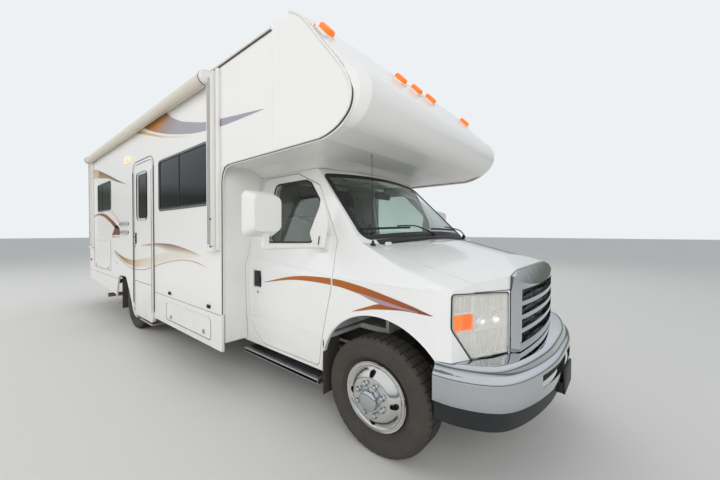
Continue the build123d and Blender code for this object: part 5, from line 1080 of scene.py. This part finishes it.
def boundary_line(work):
    """The points of a bmesh's open edge, in order."""
    edges = [edge for edge in work.edges if edge.is_boundary]
    first, spot = edges.pop(0).verts
    line = [first.co.copy(), spot.co.copy()]
    while edges:
        edge = next((other for other in spot.link_edges if other in edges), None)
        if edge is None:
            break
        edges.remove(edge)
        spot = edge.other_vert(spot)
        if spot is not first:
            line.append(spot.co.copy())
    return line


def cowl_panel():
    """Dark grained panel between the glass and the hood, with its air slots."""
    tree = surface_of("cab_shell", "front_fenders")

    def laid(spot):
        y = spot.x * COWL_HALF
        rear = COWL_REAR - COWL_REAR_BOW * y * y
        front = COWL_FRONT - COWL_FRONT_BOW * y * y
        hit, normal = from_above(tree, rear + (front - rear) * (spot.y + 1) / 2, y)
        return hit and hit + normal * 0.0012

    work, _ = sheet_grid(COWL_COLUMNS, COWL_ROWS)
    settle(work, laid)
    bmesh.ops.recalc_face_normals(work, faces=work.faces)
    if sum(face.normal.z for face in work.faces) < 0:
        bmesh.ops.reverse_faces(work, faces=work.faces)
    keep(work, "cowl_panel", finish="black")
    slots = []
    for step in range(-16, 17):
        y = step * 0.042
        hit, normal = from_above(tree, 0.006 - 0.100 * (y / 0.86) ** 2, y)
        if hit:
            middle = hit + normal * 0.002
            slots.append([middle - Vector((0.010, 0, 0)), middle + Vector((0.012, 0, -0.004))])
    bars("cowl_ribs", slots, 0.0028, finish="gasket", sides=1)


def soft_corners(corners, reach, steps=5):
    """A closed outline whose corners are drawn as short curves that start reach before each."""
    points = []
    for before, corner, after in zip(corners[-1:] + corners[:-1], corners, corners[1:] + corners[:1]):
        start = corner + (before - corner).normalized() * reach
        end = corner + (after - corner).normalized() * reach
        for step in range(steps + 1):
            t = step / steps
            points.append(start.lerp(corner, t).lerp(corner.lerp(end, t), t))
    return points


def side_line(name, side, tree, line, radius, body="root", finish="gasket", lift=0.0, closed=False):
    """A round strip laid along a line of (x, z) on one side of the cab."""
    points = [on_side(tree, side, x, z, lift) for x, z in line]
    bars(name, [[point for point in points if point]], radius, body, finish, closed=closed)


def cab_side(hand, side):
    """Window rubber, handle, lock, creases, arch lip, mirror sail, flaps and step of one side of the cab."""
    door = f"cab_door_{hand}"
    door_tree = surface_of(door)
    fender_tree = surface_of("front_fenders", "cab_shell")
    window = offset_outline(soft_corners([Vector(corner) for corner in CAB_WINDOW], 0.055), 0.004)
    side_line(f"window_rubber_{hand}", side, door_tree, window, 0.0075, door, closed=True)
    for name, tree, points, steps, radius, body in (
            ("door_crease", door_tree, DOOR_CREASE, 24, 0.0042, door),
            ("door_low_crease", door_tree, DOOR_LOW_CREASE, 16, 0.0040, door),
            ("fender_crease", fender_tree, FENDER_CREASE, 20, 0.0040, "root")):
        side_line(f"{name}_{hand}", side, tree, smooth_line(points, steps), radius, body, "cab_paint", -0.0012)
    lip_r = ARCH_R + 0.006
    arch = []
    for step in range(41):
        angle = math.radians(-2 + 184 * step / 40)
        spot = on_side(fender_tree, side, ARCH_CENTRE[0] + lip_r * math.cos(angle),
                       ARCH_CENTRE[1] + lip_r * math.sin(angle), -0.001)
        if spot and abs(spot.y) > 0.9:
            arch.append(spot)
    bars(f"arch_lip_{hand}", [arch], 0.0075, finish="cab_paint", sides=4)
    handle = rounded_outline(-1.270, -1.158, 0.930, 1.100, 0.016, side * 0.9985, 4)
    framed(f"door_handle_frame_{hand}", [handle], 0.007, (0, side * 0.0035, 0), door, "window_grey")
    well = ((-1.264, side * 0.9905, 0.936), (-1.164, side * 0.9995, 1.094), 0.003)
    blocks(f"door_handle_well_{hand}", [well], door, "black")
    pull = ((-1.252, side * 0.9990, 0.985), (-1.176, side * 1.0085, 1.055), 0.005, 3)
    blocks(f"door_handle_{hand}", [pull], door, "black")
    lock = [(-0.002, 0), (-0.002, 0.013), (0.004, 0.012), (0.005, 0.005), (0.003, 0)]
    spun(f"door_lock_{hand}", lock, [at(-1.214, side * 0.9960, 0.888)], (0, side, 0), door, "chromium", 20)
    work = bmesh.new()
    prism(work, run(*((x, -y * side, z) for x, y, z in MIRROR_SAIL)), Vector((0, side * 0.012, 0)), 0.004)
    keep(work, f"mirror_sail_{hand}", door)
    slot = run((-0.452, side * 1.0135, 1.335), (-0.446, side * 1.0105, 1.395))
    bars(f"mirror_sail_slot_{hand}", [slot], 0.004, door, "black")
    glass = ((-0.6415, side * 1.285, 1.418), (-0.6385, side * 1.515, 1.677), 0.0012)
    blocks(f"mirror_face_{hand}", [glass], door, "mirror")
    front_flap = ((-0.434, side * 0.800, 0.235), (-0.425, side * 0.985, 0.640), 0.003)
    blocks(f"front_flap_{hand}", [front_flap], finish="rubber")
    rear_flap = ((-4.560, side * 0.690, 0.210), (-4.548, side * 1.205, 0.745), 0.004)
    blocks(f"rear_flap_{hand}", [rear_flap], finish="rubber")
    ribs = [0.842 + row * 0.026 for row in range(6)]
    grip = [((-1.335, side * y, 0.3555), (-0.475, side * (y + 0.013), 0.3600), 0.002) for y in ribs]
    grip.append(((-1.372, side * 1.014, 0.320), (-0.438, side * 1.030, 0.352), 0.006, 3))
    blocks(f"step_grip_{hand}", grip, finish="gasket")


def offset_outline(points, margin):
    """The outline pushed outwards by a margin, away from its middle."""
    middle = sum(points, Vector((0, 0))) / len(points)
    return [point + (point - middle).normalized() * margin for point in points]


def aerial():
    """The radio aerial on the right fender: a cone on the panel, a thin mast and its tip."""
    x, y = -0.074, -0.880
    hit, _ = from_above(surface_of("front_fenders", "cab_shell"), x, y, 1.2)
    foot = hit or at(x, y, 1.338)
    cone = [(-0.002, 0), (-0.002, 0.020), (0.006, 0.019), (0.018, 0.010), (0.034, 0.006), (0.034, 0)]
    spun("aerial_base", cone, [foot], (0, 0, 1), finish="black", steps=24)
    mast = [foot + Vector((0, 0, 0.030)), foot + Vector((-0.012, 0, 0.600))]
    bars("aerial_mast", [mast], 0.0016, finish="black")
    tip = [(0, 0), (0.001, 0.004), (0.005, 0.0045), (0.009, 0.003), (0.010, 0)]
    spun("aerial_tip", tip, [foot + Vector((-0.012, 0, 0.598))], (0, 0, 1), finish="black", steps=12)


# Seats and the rest of the cab's inside

CROWN = 0.42
PAD_CUTS = 17
SEAM_WIDTH = 0.05
SIDE_SEAM, SIDE_SEAM_DEPTH, CHANNEL_DEPTH = 0.62, 0.12, 0.16
PIPING_STEPS, PIPING_SHARE, PIPING_CORNER = 48, 0.93, 0.35


def bulge(p, q):
    """How far one coordinate of a cube is drawn in at the other two, for a crowned closed form."""
    return math.sqrt(max(0, 1 - CROWN * p * p / 2 - CROWN * q * q / 2 + CROWN * CROWN * p * p * q * q / 3))


def piping_point(angle, half):
    """A point on the rounded rectangle that the piping follows."""
    shares = [math.copysign(abs(part) ** PIPING_CORNER, part) for part in (math.cos(angle), math.sin(angle))]
    return Vector((shares[0] * half.x * PIPING_SHARE, shares[1] * half.y * PIPING_SHARE, 0))


def pad(name, middle, size, degrees, channels):
    """A filled cushion: a crowned closed form, pulled in between its corners, with sewn channels."""
    work = bmesh.new()
    bmesh.ops.create_cube(work, size=2)
    bmesh.ops.subdivide_edges(work, edges=work.edges, cuts=PAD_CUTS, use_grid_fill=True)
    half = Vector(size) / 2
    for vert in work.verts:
        x, y, z = vert.co
        u, v, w = x * bulge(y, z), y * bulge(x, z), z * bulge(x, y)
        sewn = sum(math.exp(-((u - line) / SEAM_WIDTH) ** 2) for line in channels)
        side_seam = math.exp(-((abs(v) - SIDE_SEAM) / SEAM_WIDTH) ** 2)
        w *= 1 - CHANNEL_DEPTH * sewn * (1 - v * v * 0.5) - SIDE_SEAM_DEPTH * side_seam
        vert.co = Vector((u * half.x, v * half.y, w * half.z))
    place = Matrix.Translation(at(*middle)) @ Matrix.Rotation(math.radians(degrees), 4, "Y")
    bmesh.ops.transform(work, matrix=place, verts=work.verts)
    bmesh.ops.recalc_face_normals(work, faces=work.faces)
    piece = keep(work, name, finish="cloth", bend=80)
    finer = piece.modifiers.new("finer", "SUBSURF")
    finer.levels = finer.render_levels = 1
    rim = [place @ piping_point(math.tau * step / PIPING_STEPS, half) for step in range(PIPING_STEPS)]
    bars(f"{name}_piping", [rim], 0.004, finish="cloth", closed=True, sides=2)
    return piece


def seats():
    """Two cab seats: padded cushion, back and head rest on a boxed pedestal."""
    cushions = []
    for hand, side in SIDES:
        y = side * 0.520
        cushion = pad(f"seat_cushion_{hand}", (-1.060, y, 0.925), (0.540, 0.490, 0.145), -4, (-0.35, 0.25))
        cushions.append(cushion)
        pad(f"seat_back_{hand}", (-1.330, y, 1.255), (0.640, 0.470, 0.140), -78, (-0.45, 0.0, 0.45))
        pad(f"seat_head_rest_{hand}", (-1.396, y, 1.650), (0.175, 0.250, 0.090), -80, ())
        pedestal = ((-1.290, y - 0.190, 0.680), (-0.830, y + 0.190, 0.858), 0.015, 3)
        blocks(f"seat_pedestal_{hand}", [pedestal], finish="black")
        stems = [run((-1.376, y + across, 1.520), (-1.392, y + across, 1.640)) for across in (-0.06, 0.06)]
        bars(f"head_rest_stems_{hand}", stems, 0.006, finish="stainless")
    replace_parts(cushions[0], "cab_seats")


def cab_inside():
    """Instrument hood, glove box lid, vents, visors and belts."""
    hood = [((-0.600, 0.170, 1.205), (-0.420, 0.610, 1.300), 0.035, 4),
            ((-0.585, -0.110, 1.060), (-0.540, 0.110, 1.255), 0.012, 3)]
    blocks("instrument_hood", hood, finish="dash")
    blocks("glove_box_lid", [((-0.5645, -0.780, 1.050), (-0.5595, -0.300, 1.215), 0.002)], finish="dash")
    vents = [((-0.5665, y - 0.045, 1.222 + row * 0.012), (-0.5600, y + 0.045, 1.228 + row * 0.012), 0.001)
             for y in (-0.81, -0.235, 0.20, 0.78) for row in range(4)]
    blocks("dash_vents", vents, finish="black")
    visors = [((-0.700, y - 0.185, 1.858), (-0.520, y + 0.185, 1.876), 0.007, 3) for y in (-0.43, 0.43)]
    blocks("sun_visors", visors, finish="headliner")
    work = bmesh.new()
    for _, side in SIDES:
        belt = run((-1.300, side * 0.860, 1.640), (-1.250, side * 0.800, 1.350), (-1.180, side * 0.770, 0.960))
        drawn_sheet(work, smooth_line(belt, 12), Vector((0.046, 0, 0)))
    thickened(work, 0.0015)
    keep(work, "seat_belts", finish="webbing")


# Wheels

TYRE_R = 0.372
FRONT_TYRE_Y, INNER_TWIN_Y, OUTER_TWIN_Y = 0.880, 0.802, 1.072
TYRE_SIDE = ((0.0700, 0.2036), (0.0745, 0.2245), (0.0860, 0.2360), (0.1040, 0.2510), (0.1062, 0.2535),
             (0.1052, 0.2575), (0.1090, 0.2680), (0.1112, 0.2910), (0.1100, 0.3120), (0.1078, 0.3300),
             (0.1090, 0.3330), (0.1060, 0.3390), (0.0985, 0.3570), (0.0905, 0.3650), (0.0780, 0.3702))
TYRE_INSIDE = ((0.0815, 0.352), (0.0975, 0.326), (0.0995, 0.281), (0.066, 0.237), (0.066, 0.2036))
GROOVES = (0.062, 0.031, 0.0, -0.031, -0.062)
GROOVE_SECTION = ((0.0050, TYRE_R), (0.0035, 0.361), (-0.0035, 0.361), (-0.0050, TYRE_R))
TREAD_STEPS = 240
SIPE_PITCH = 5
TREAD_FOOT_R, GROOVE_FOOT_R, SHOULDER_FOOT_R = 0.3620, 0.355, 0.3560
GROOVE_HALF, TREAD_HALF, SHOULDER_HALF = 0.0065, 0.072, 0.075
ZIGZAG, NOTCH = 0.0014, 0.0035
FRONT_LINER = ((0.950, 0.2100), (0.962, 0.2140), (0.969, 0.2080), (0.970, 0.1980), (0.962, 0.1900),
               (0.961, 0.1840), (0.966, 0.1780), (0.976, 0.1700), (0.985, 0.1620), (0.992, 0.1550),
               (0.998, 0.1480), (1.003, 0.1420), (1.008, 0.1360), (1.011, 0.1280), (1.012, 0.1180),
               (1.0125, 0.0600))
REAR_LINER = ((1.140, 0.2120), (1.163, 0.2140), (1.164, 0.2060), (1.150, 0.1975), (1.126, 0.1890),
              (1.108, 0.1830), (1.085, 0.1760), (1.060, 0.1690), (1.040, 0.1620), (1.022, 0.1560),
              (1.006, 0.1500), (0.992, 0.1440), (0.980, 0.1380), (0.974, 0.1300), (0.972, 0.1180),
              (0.972, 0.0600))
HOLE_CIRCLE_R = 0.153
HOLE_R = 0.0195
NUTS = 8
NUT_CIRCLE_R = 0.096
NUT = [(0, 0.0190), (0.004, 0.0190), (0.006, 0.0165), (0.024, 0.0155), (0.031, 0.0105), (0.0335, 0.004),
       (0.0340, 0)]
FRONT_CAP = [(0, 0.0690), (0.006, 0.0695), (0.010, 0.0640), (0.036, 0.0625), (0.046, 0.0550), (0.051, 0.0340),
             (0.052, 0)]
REAR_CAP = [(0, 0.0710), (0.010, 0.0715), (0.014, 0.0648), (0.084, 0.0638), (0.090, 0.0570), (0.090, 0.0300),
            (0.086, 0.0280), (0.086, 0)]


def flat(point, middle):
    """What lies between two points, seen from the side."""
    return Vector((point.x - middle.x, 0, point.z - middle.z))


def tyre_shape(x, y):
    """One tyre: its section spun round, with zigzag groove walls, notched shoulders, and grooves and sipes in
    a darker rubber that is partly painted shade.
    """
    centre = at(x, y, TYRE_R)
    section = list(TYRE_SIDE)
    section += [(groove + across, r) for groove in GROOVES for across, r in GROOVE_SECTION]
    section += [(-across, r) for across, r in (*reversed(TYRE_SIDE), *reversed(TYRE_INSIDE))]
    section += TYRE_INSIDE
    work = bmesh.new()
    points = [centre + Vector((r, across, 0)) for across, r in section]
    spin_round(work, points, centre, (0, 1, 0), TREAD_STEPS, closed=True)
    for vert in work.verts:
        spoke = flat(vert.co, centre)
        across = vert.co.y - y
        step = round(math.atan2(spoke.z, spoke.x) / math.tau * TREAD_STEPS)
        if spoke.length > TREAD_FOOT_R and min(abs(across - groove) for groove in GROOVES) < GROOVE_HALF:
            vert.co.y += ZIGZAG if step // 3 % 2 else -ZIGZAG
        if spoke.length > SHOULDER_FOOT_R and abs(across) > SHOULDER_HALF and step % SIPE_PITCH == 0:
            vert.co -= spoke.normalized() * NOTCH
    # Faces inside the grooves and sipes take the darker rubber: painted shade in the recesses, partly the real
    # unworn rubber there.
    for face in work.faces:
        middle = face.calc_center_median()
        spoke = flat(middle, centre)
        step = math.floor(math.atan2(spoke.z, spoke.x) / math.tau * TREAD_STEPS + 0.01)
        in_groove = abs(middle.y - y) < TREAD_HALF and GROOVE_FOOT_R < spoke.length < TYRE_R - 0.003
        sipe = spoke.length > TREAD_FOOT_R and step % SIPE_PITCH == 0
        face.material_index = int(in_groove or sipe)
    return work


def wheel_liner(name, body, x, side, profile):
    """A spun stainless liner over a rim, with four oval hand holes and a dark cup behind each: painted shade
    in place of the shadowed rim seen through the hole.
    """
    work, backs = bmesh.new(), bmesh.new()
    centre = at(x, 0, TYRE_R)
    turned(work, profile, centre, (0, side, 0), 120)
    for quarter in range(4):
        angle = math.tau * quarter / 4
        hole = centre + Vector((math.cos(angle), 0, math.sin(angle))) * HOLE_CIRCLE_R
        without(work, lambda face: flat(face.calc_center_median(), hole).length < HOLE_R)
        rim = {vert for edge in work.edges if edge.is_boundary for vert in edge.verts
               if flat(vert.co, hole).length < HOLE_R * 1.6}
        for vert in rim:
            goal = flat(vert.co, hole).normalized() * HOLE_R
            vert.co.x, vert.co.z = hole.x + goal.x, hole.z + goal.z
        # Behind each hole a dark cup: painted shade standing in for the rim in shadow behind the liner.
        depth = sum(abs(vert.co.y) for vert in rim) / max(1, len(rim))
        back = [(depth - 0.024, 0), (depth - 0.024, HOLE_R * 1.15), (depth - 0.006, HOLE_R * 1.12)]
        turned(backs, back, Vector((hole.x, 0, hole.z)), (0, side, 0), 24)
    bmesh.ops.recalc_face_normals(work, faces=work.faces)
    keep(work, f"{name}_liner", body, "stainless", 40)
    # The dark cups are painted shade, not a part of the wheel.
    keep(backs, f"{name}_hand_hole_painted_shade", body, "black")


def wheels(hand, side):
    """Tyres with their tread, spun liners, and the covers of the hubs and nuts."""
    front, rear = f"front_wheel_{hand}", f"rear_wheels_{hand}"
    twins = tyre_shape(-WHEELBASE, side * OUTER_TWIN_Y)
    inner = tyre_shape(-WHEELBASE, side * INNER_TWIN_Y)
    mesh = bpy.data.meshes.new("inner")
    inner.to_mesh(mesh)
    inner.free()
    twins.from_mesh(mesh)
    bpy.data.meshes.remove(mesh)
    for work, name, body, node in ((tyre_shape(0, side * FRONT_TYRE_Y), "front_tread", front, "front_tyre"),
                                   (twins, "rear_tread", rear, "rear_tyres")):
        tyre = keep(work, f"{name}_{hand}", body, "rubber")
        # The second material is the darker groove rubber, partly painted shade.
        tyre.data.materials.append(MATERIALS["groove_rubber_painted_shade"])
        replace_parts(tyre, f"{node}_{hand}")
    wheel_liner(f"front_wheel_{hand}", front, 0, side, FRONT_LINER)
    wheel_liner(f"rear_wheel_{hand}", rear, -WHEELBASE, side, REAR_LINER)
    for body, x, face, cap in ((front, 0, 1.011, FRONT_CAP), (rear, -WHEELBASE, 0.971, REAR_CAP)):
        angles = [math.tau * (step + 0.5) / NUTS for step in range(NUTS)]
        spots = [at(x + NUT_CIRCLE_R * math.cos(angle), side * face, TYRE_R + NUT_CIRCLE_R * math.sin(angle))
                 for angle in angles]
        spun(f"nut_covers_{body}", NUT, spots, (0, side, 0), body, "chromium", 20, 50)
        spun(f"hub_cap_{body}", cap, [at(x, side * face, TYRE_R)], (0, side, 0), body, "chromium", 40, 50)


# Stripes: cast film on the walls, each as an upper and a lower line (x, z)

STRIPE_STEPS, STRIPE_ROWS = 48, 3
UPPER_SWEEP = (((-3.425, 2.830), (-2.753, 2.835), (-2.465, 2.698), (-2.207, 2.593), (-1.948, 2.521),
                (-1.694, 2.460), (-1.400, 2.418), (-0.790, 2.340)),
               ((-3.425, 2.815), (-3.081, 2.681), (-2.724, 2.576), (-2.408, 2.499), (-2.128, 2.442),
                (-1.877, 2.399), (-1.400, 2.352), (-0.790, 2.335)))
UPPER_LINE = (((-3.640, 2.830), (-3.100, 2.660), (-2.724, 2.552), (-2.408, 2.477), (-2.128, 2.422),
               (-1.877, 2.383)),
              ((-3.800, 2.820), (-3.130, 2.635), (-2.740, 2.530), (-2.416, 2.463), (-2.130, 2.413),
               (-1.877, 2.378)))
BRONZE_PATCH = (((-1.600, 2.440), (-1.490, 2.428), (-1.400, 2.415)),
                ((-1.600, 2.374), (-1.490, 2.362), (-1.400, 2.354)))
REAR_SWEEP = (((-6.316, 2.659), (-5.851, 2.570), (-5.373, 2.455), (-4.814, 2.310), (-4.443, 2.211),
               (-4.108, 2.129)),
              ((-6.325, 2.460), (-5.858, 2.420), (-5.377, 2.364), (-5.085, 2.322), (-4.687, 2.235),
               (-4.108, 2.127)))
HOOK = (((-6.294, 1.722), (-5.887, 1.762), (-5.557, 1.757), (-5.253, 1.714), (-4.972, 1.640),
         (-4.711, 1.558), (-4.497, 1.479)),
        ((-6.294, 1.708), (-5.888, 1.735), (-5.638, 1.720), (-5.404, 1.682), (-5.183, 1.627),
         (-4.974, 1.566), (-4.777, 1.490)))
HOOK_END = (((-4.777, 1.490), (-4.640, 1.532), (-4.497, 1.479)),
            ((-4.947, 1.368), (-4.700, 1.378), (-4.500, 1.375)))
HOOK_LINE = (((-4.948, 1.350), (-4.501, 1.355)),
             ((-4.948, 1.338), (-4.501, 1.343)))
HOOK_PALE = (((-5.069, 1.812), (-4.801, 1.735), (-4.583, 1.638), (-4.464, 1.574)),
             ((-5.069, 1.800), (-4.830, 1.705), (-4.630, 1.612), (-4.464, 1.545)))
LOW_WAVE = (((-4.868, 1.152), (-4.582, 1.083), (-4.233, 1.038), (-3.890, 1.026), (-3.489, 1.061),
             (-3.115, 1.112), (-2.819, 1.164), (-2.584, 1.196), (-2.199, 1.204), (-1.797, 1.190)),
            ((-4.868, 1.148), (-4.645, 1.071), (-4.348, 0.992), (-4.020, 0.948), (-3.721, 0.938),
             (-3.448, 0.955), (-3.196, 0.990), (-2.820, 1.062), (-2.370, 1.131), (-1.797, 1.185)))
CREST = (((-3.529, 1.242), (-3.230, 1.270), (-2.960, 1.287), (-2.680, 1.291), (-2.427, 1.282),
          (-2.198, 1.259), (-1.989, 1.231), (-1.797, 1.196)),
         ((-3.529, 1.238), (-3.191, 1.243), (-2.888, 1.238), (-2.681, 1.214), (-2.490, 1.204),
          (-2.199, 1.204), (-1.989, 1.199), (-1.797, 1.192)))
LOW_LINE = (((-4.868, 1.150), (-4.708, 1.070), (-4.348, 0.970), (-3.918, 0.911), (-3.537, 0.916),
             (-3.197, 0.964), (-2.821, 1.045), (-2.554, 1.090), (-2.255, 1.128), (-2.041, 1.135),
             (-1.844, 1.121), (-1.686, 1.094)),
            ((-4.868, 1.146), (-4.708, 1.060), (-4.348, 0.961), (-3.918, 0.902), (-3.537, 0.907),
             (-3.197, 0.955), (-2.821, 1.036), (-2.554, 1.081), (-2.255, 1.119), (-2.041, 1.126),
             (-1.844, 1.112), (-1.686, 1.092)))
CAB_SWEEP = (((-1.116, 0.988), (-0.727, 1.076), (-0.343, 1.099), (-0.080, 1.073), (0.114, 1.035),
              (0.275, 0.999), (0.386, 0.966)),
             ((-1.116, 0.984), (-0.727, 1.047), (-0.343, 1.052), (-0.127, 1.026), (0.060, 0.985),
              (0.220, 0.975), (0.386, 0.964)))
CAB_TAIL = (((-0.162, 0.897), (-0.090, 0.927), (-0.023, 0.954), (0.060, 0.980), (0.220, 0.984),
             (0.386, 0.966)),
            ((-0.162, 0.895), (-0.090, 0.912), (-0.023, 0.931), (0.060, 0.946), (0.220, 0.964),
             (0.386, 0.963)))
CAB_MAUVE = (((-0.119, 1.030), (0.050, 1.008), (0.180, 0.988), (0.301, 0.974)),
             ((-0.119, 1.026), (0.041, 0.982), (0.180, 0.972), (0.301, 0.968)))
DOOR_REAR, DOOR_FRONT = -3.785, -3.0605


def stripes(hand, side):
    """The film stripes of one side of the coach and cab."""
    swoosh(f"upper_line_{hand}", side, UPPER_LINE, "film_upper_line")
    swoosh(f"upper_sweep_{hand}", side, UPPER_SWEEP, "film_upper", lift=0.0004)
    swoosh(f"bronze_patch_{hand}", side, BRONZE_PATCH, "film_bronze", lift=0.0008)
    swoosh(f"rear_sweep_{hand}", side, REAR_SWEEP, "film_rear", span=(None, None if side < 0 else -4.32))
    lowered = 0 if side < 0 else -0.135
    for name, lines, finish in (("hook", HOOK, "film_hook"), ("hook_end", HOOK_END, "film_hook_end"),
                                ("hook_line", HOOK_LINE, "film_line"), ("hook_pale", HOOK_PALE, "film_pale")):
        swoosh(f"{name}_{hand}", side, [[(x, z + lowered) for x, z in line] for line in lines], finish)
    parts = [("rear", "root", (None, DOOR_REAR)), ("door", "entry_door", (DOOR_REAR, DOOR_FRONT)),
             ("front", "root", (DOOR_FRONT, None))]
    if side > 0:
        parts = [("whole", "root", (None, None))]
    for part, body, span in parts:
        swoosh(f"low_wave_{hand}_{part}", side, LOW_WAVE, "film_wave", body, span)
        swoosh(f"low_line_{hand}_{part}", side, LOW_LINE, "film_line", body, span)
        if part != "rear":
            swoosh(f"crest_{hand}_{part}", side, CREST, "film_crest", body, span, lift=0.0003)
    door = f"cab_door_{hand}"
    fender = surface_of("front_fenders", "cab_shell")
    swoosh(f"cab_sweep_{hand}_door", side, CAB_SWEEP, "film_orange", door, (None, -0.343), surface_of(door))
    swoosh(f"cab_sweep_{hand}", side, CAB_SWEEP, "film_orange", span=(-0.328, None), tree=fender)
    swoosh(f"cab_tail_{hand}", side, CAB_TAIL, "film_orange", tree=fender)
    swoosh(f"cab_mauve_{hand}", side, CAB_MAUVE, "film_mauve", tree=fender, lift=0.0005)


set_camera()
set_light()
lay_floor()
finish_nodes()

for hand, side in SIDES:
    coach_trims(hand, side)
    cab_side(hand, side)
    wheels(hand, side)
    stripes(hand, side)
window_dividers()
entry_door_trims()
wall_fittings()
rear_wall_trims()
awning_details()
roof_details()
clearance_lamps()
headlamps()
grille()
bumper()
glass_details()
aerial()
seats()
cab_inside()

bpy.context.scene.view_settings.view_transform = "Standard"
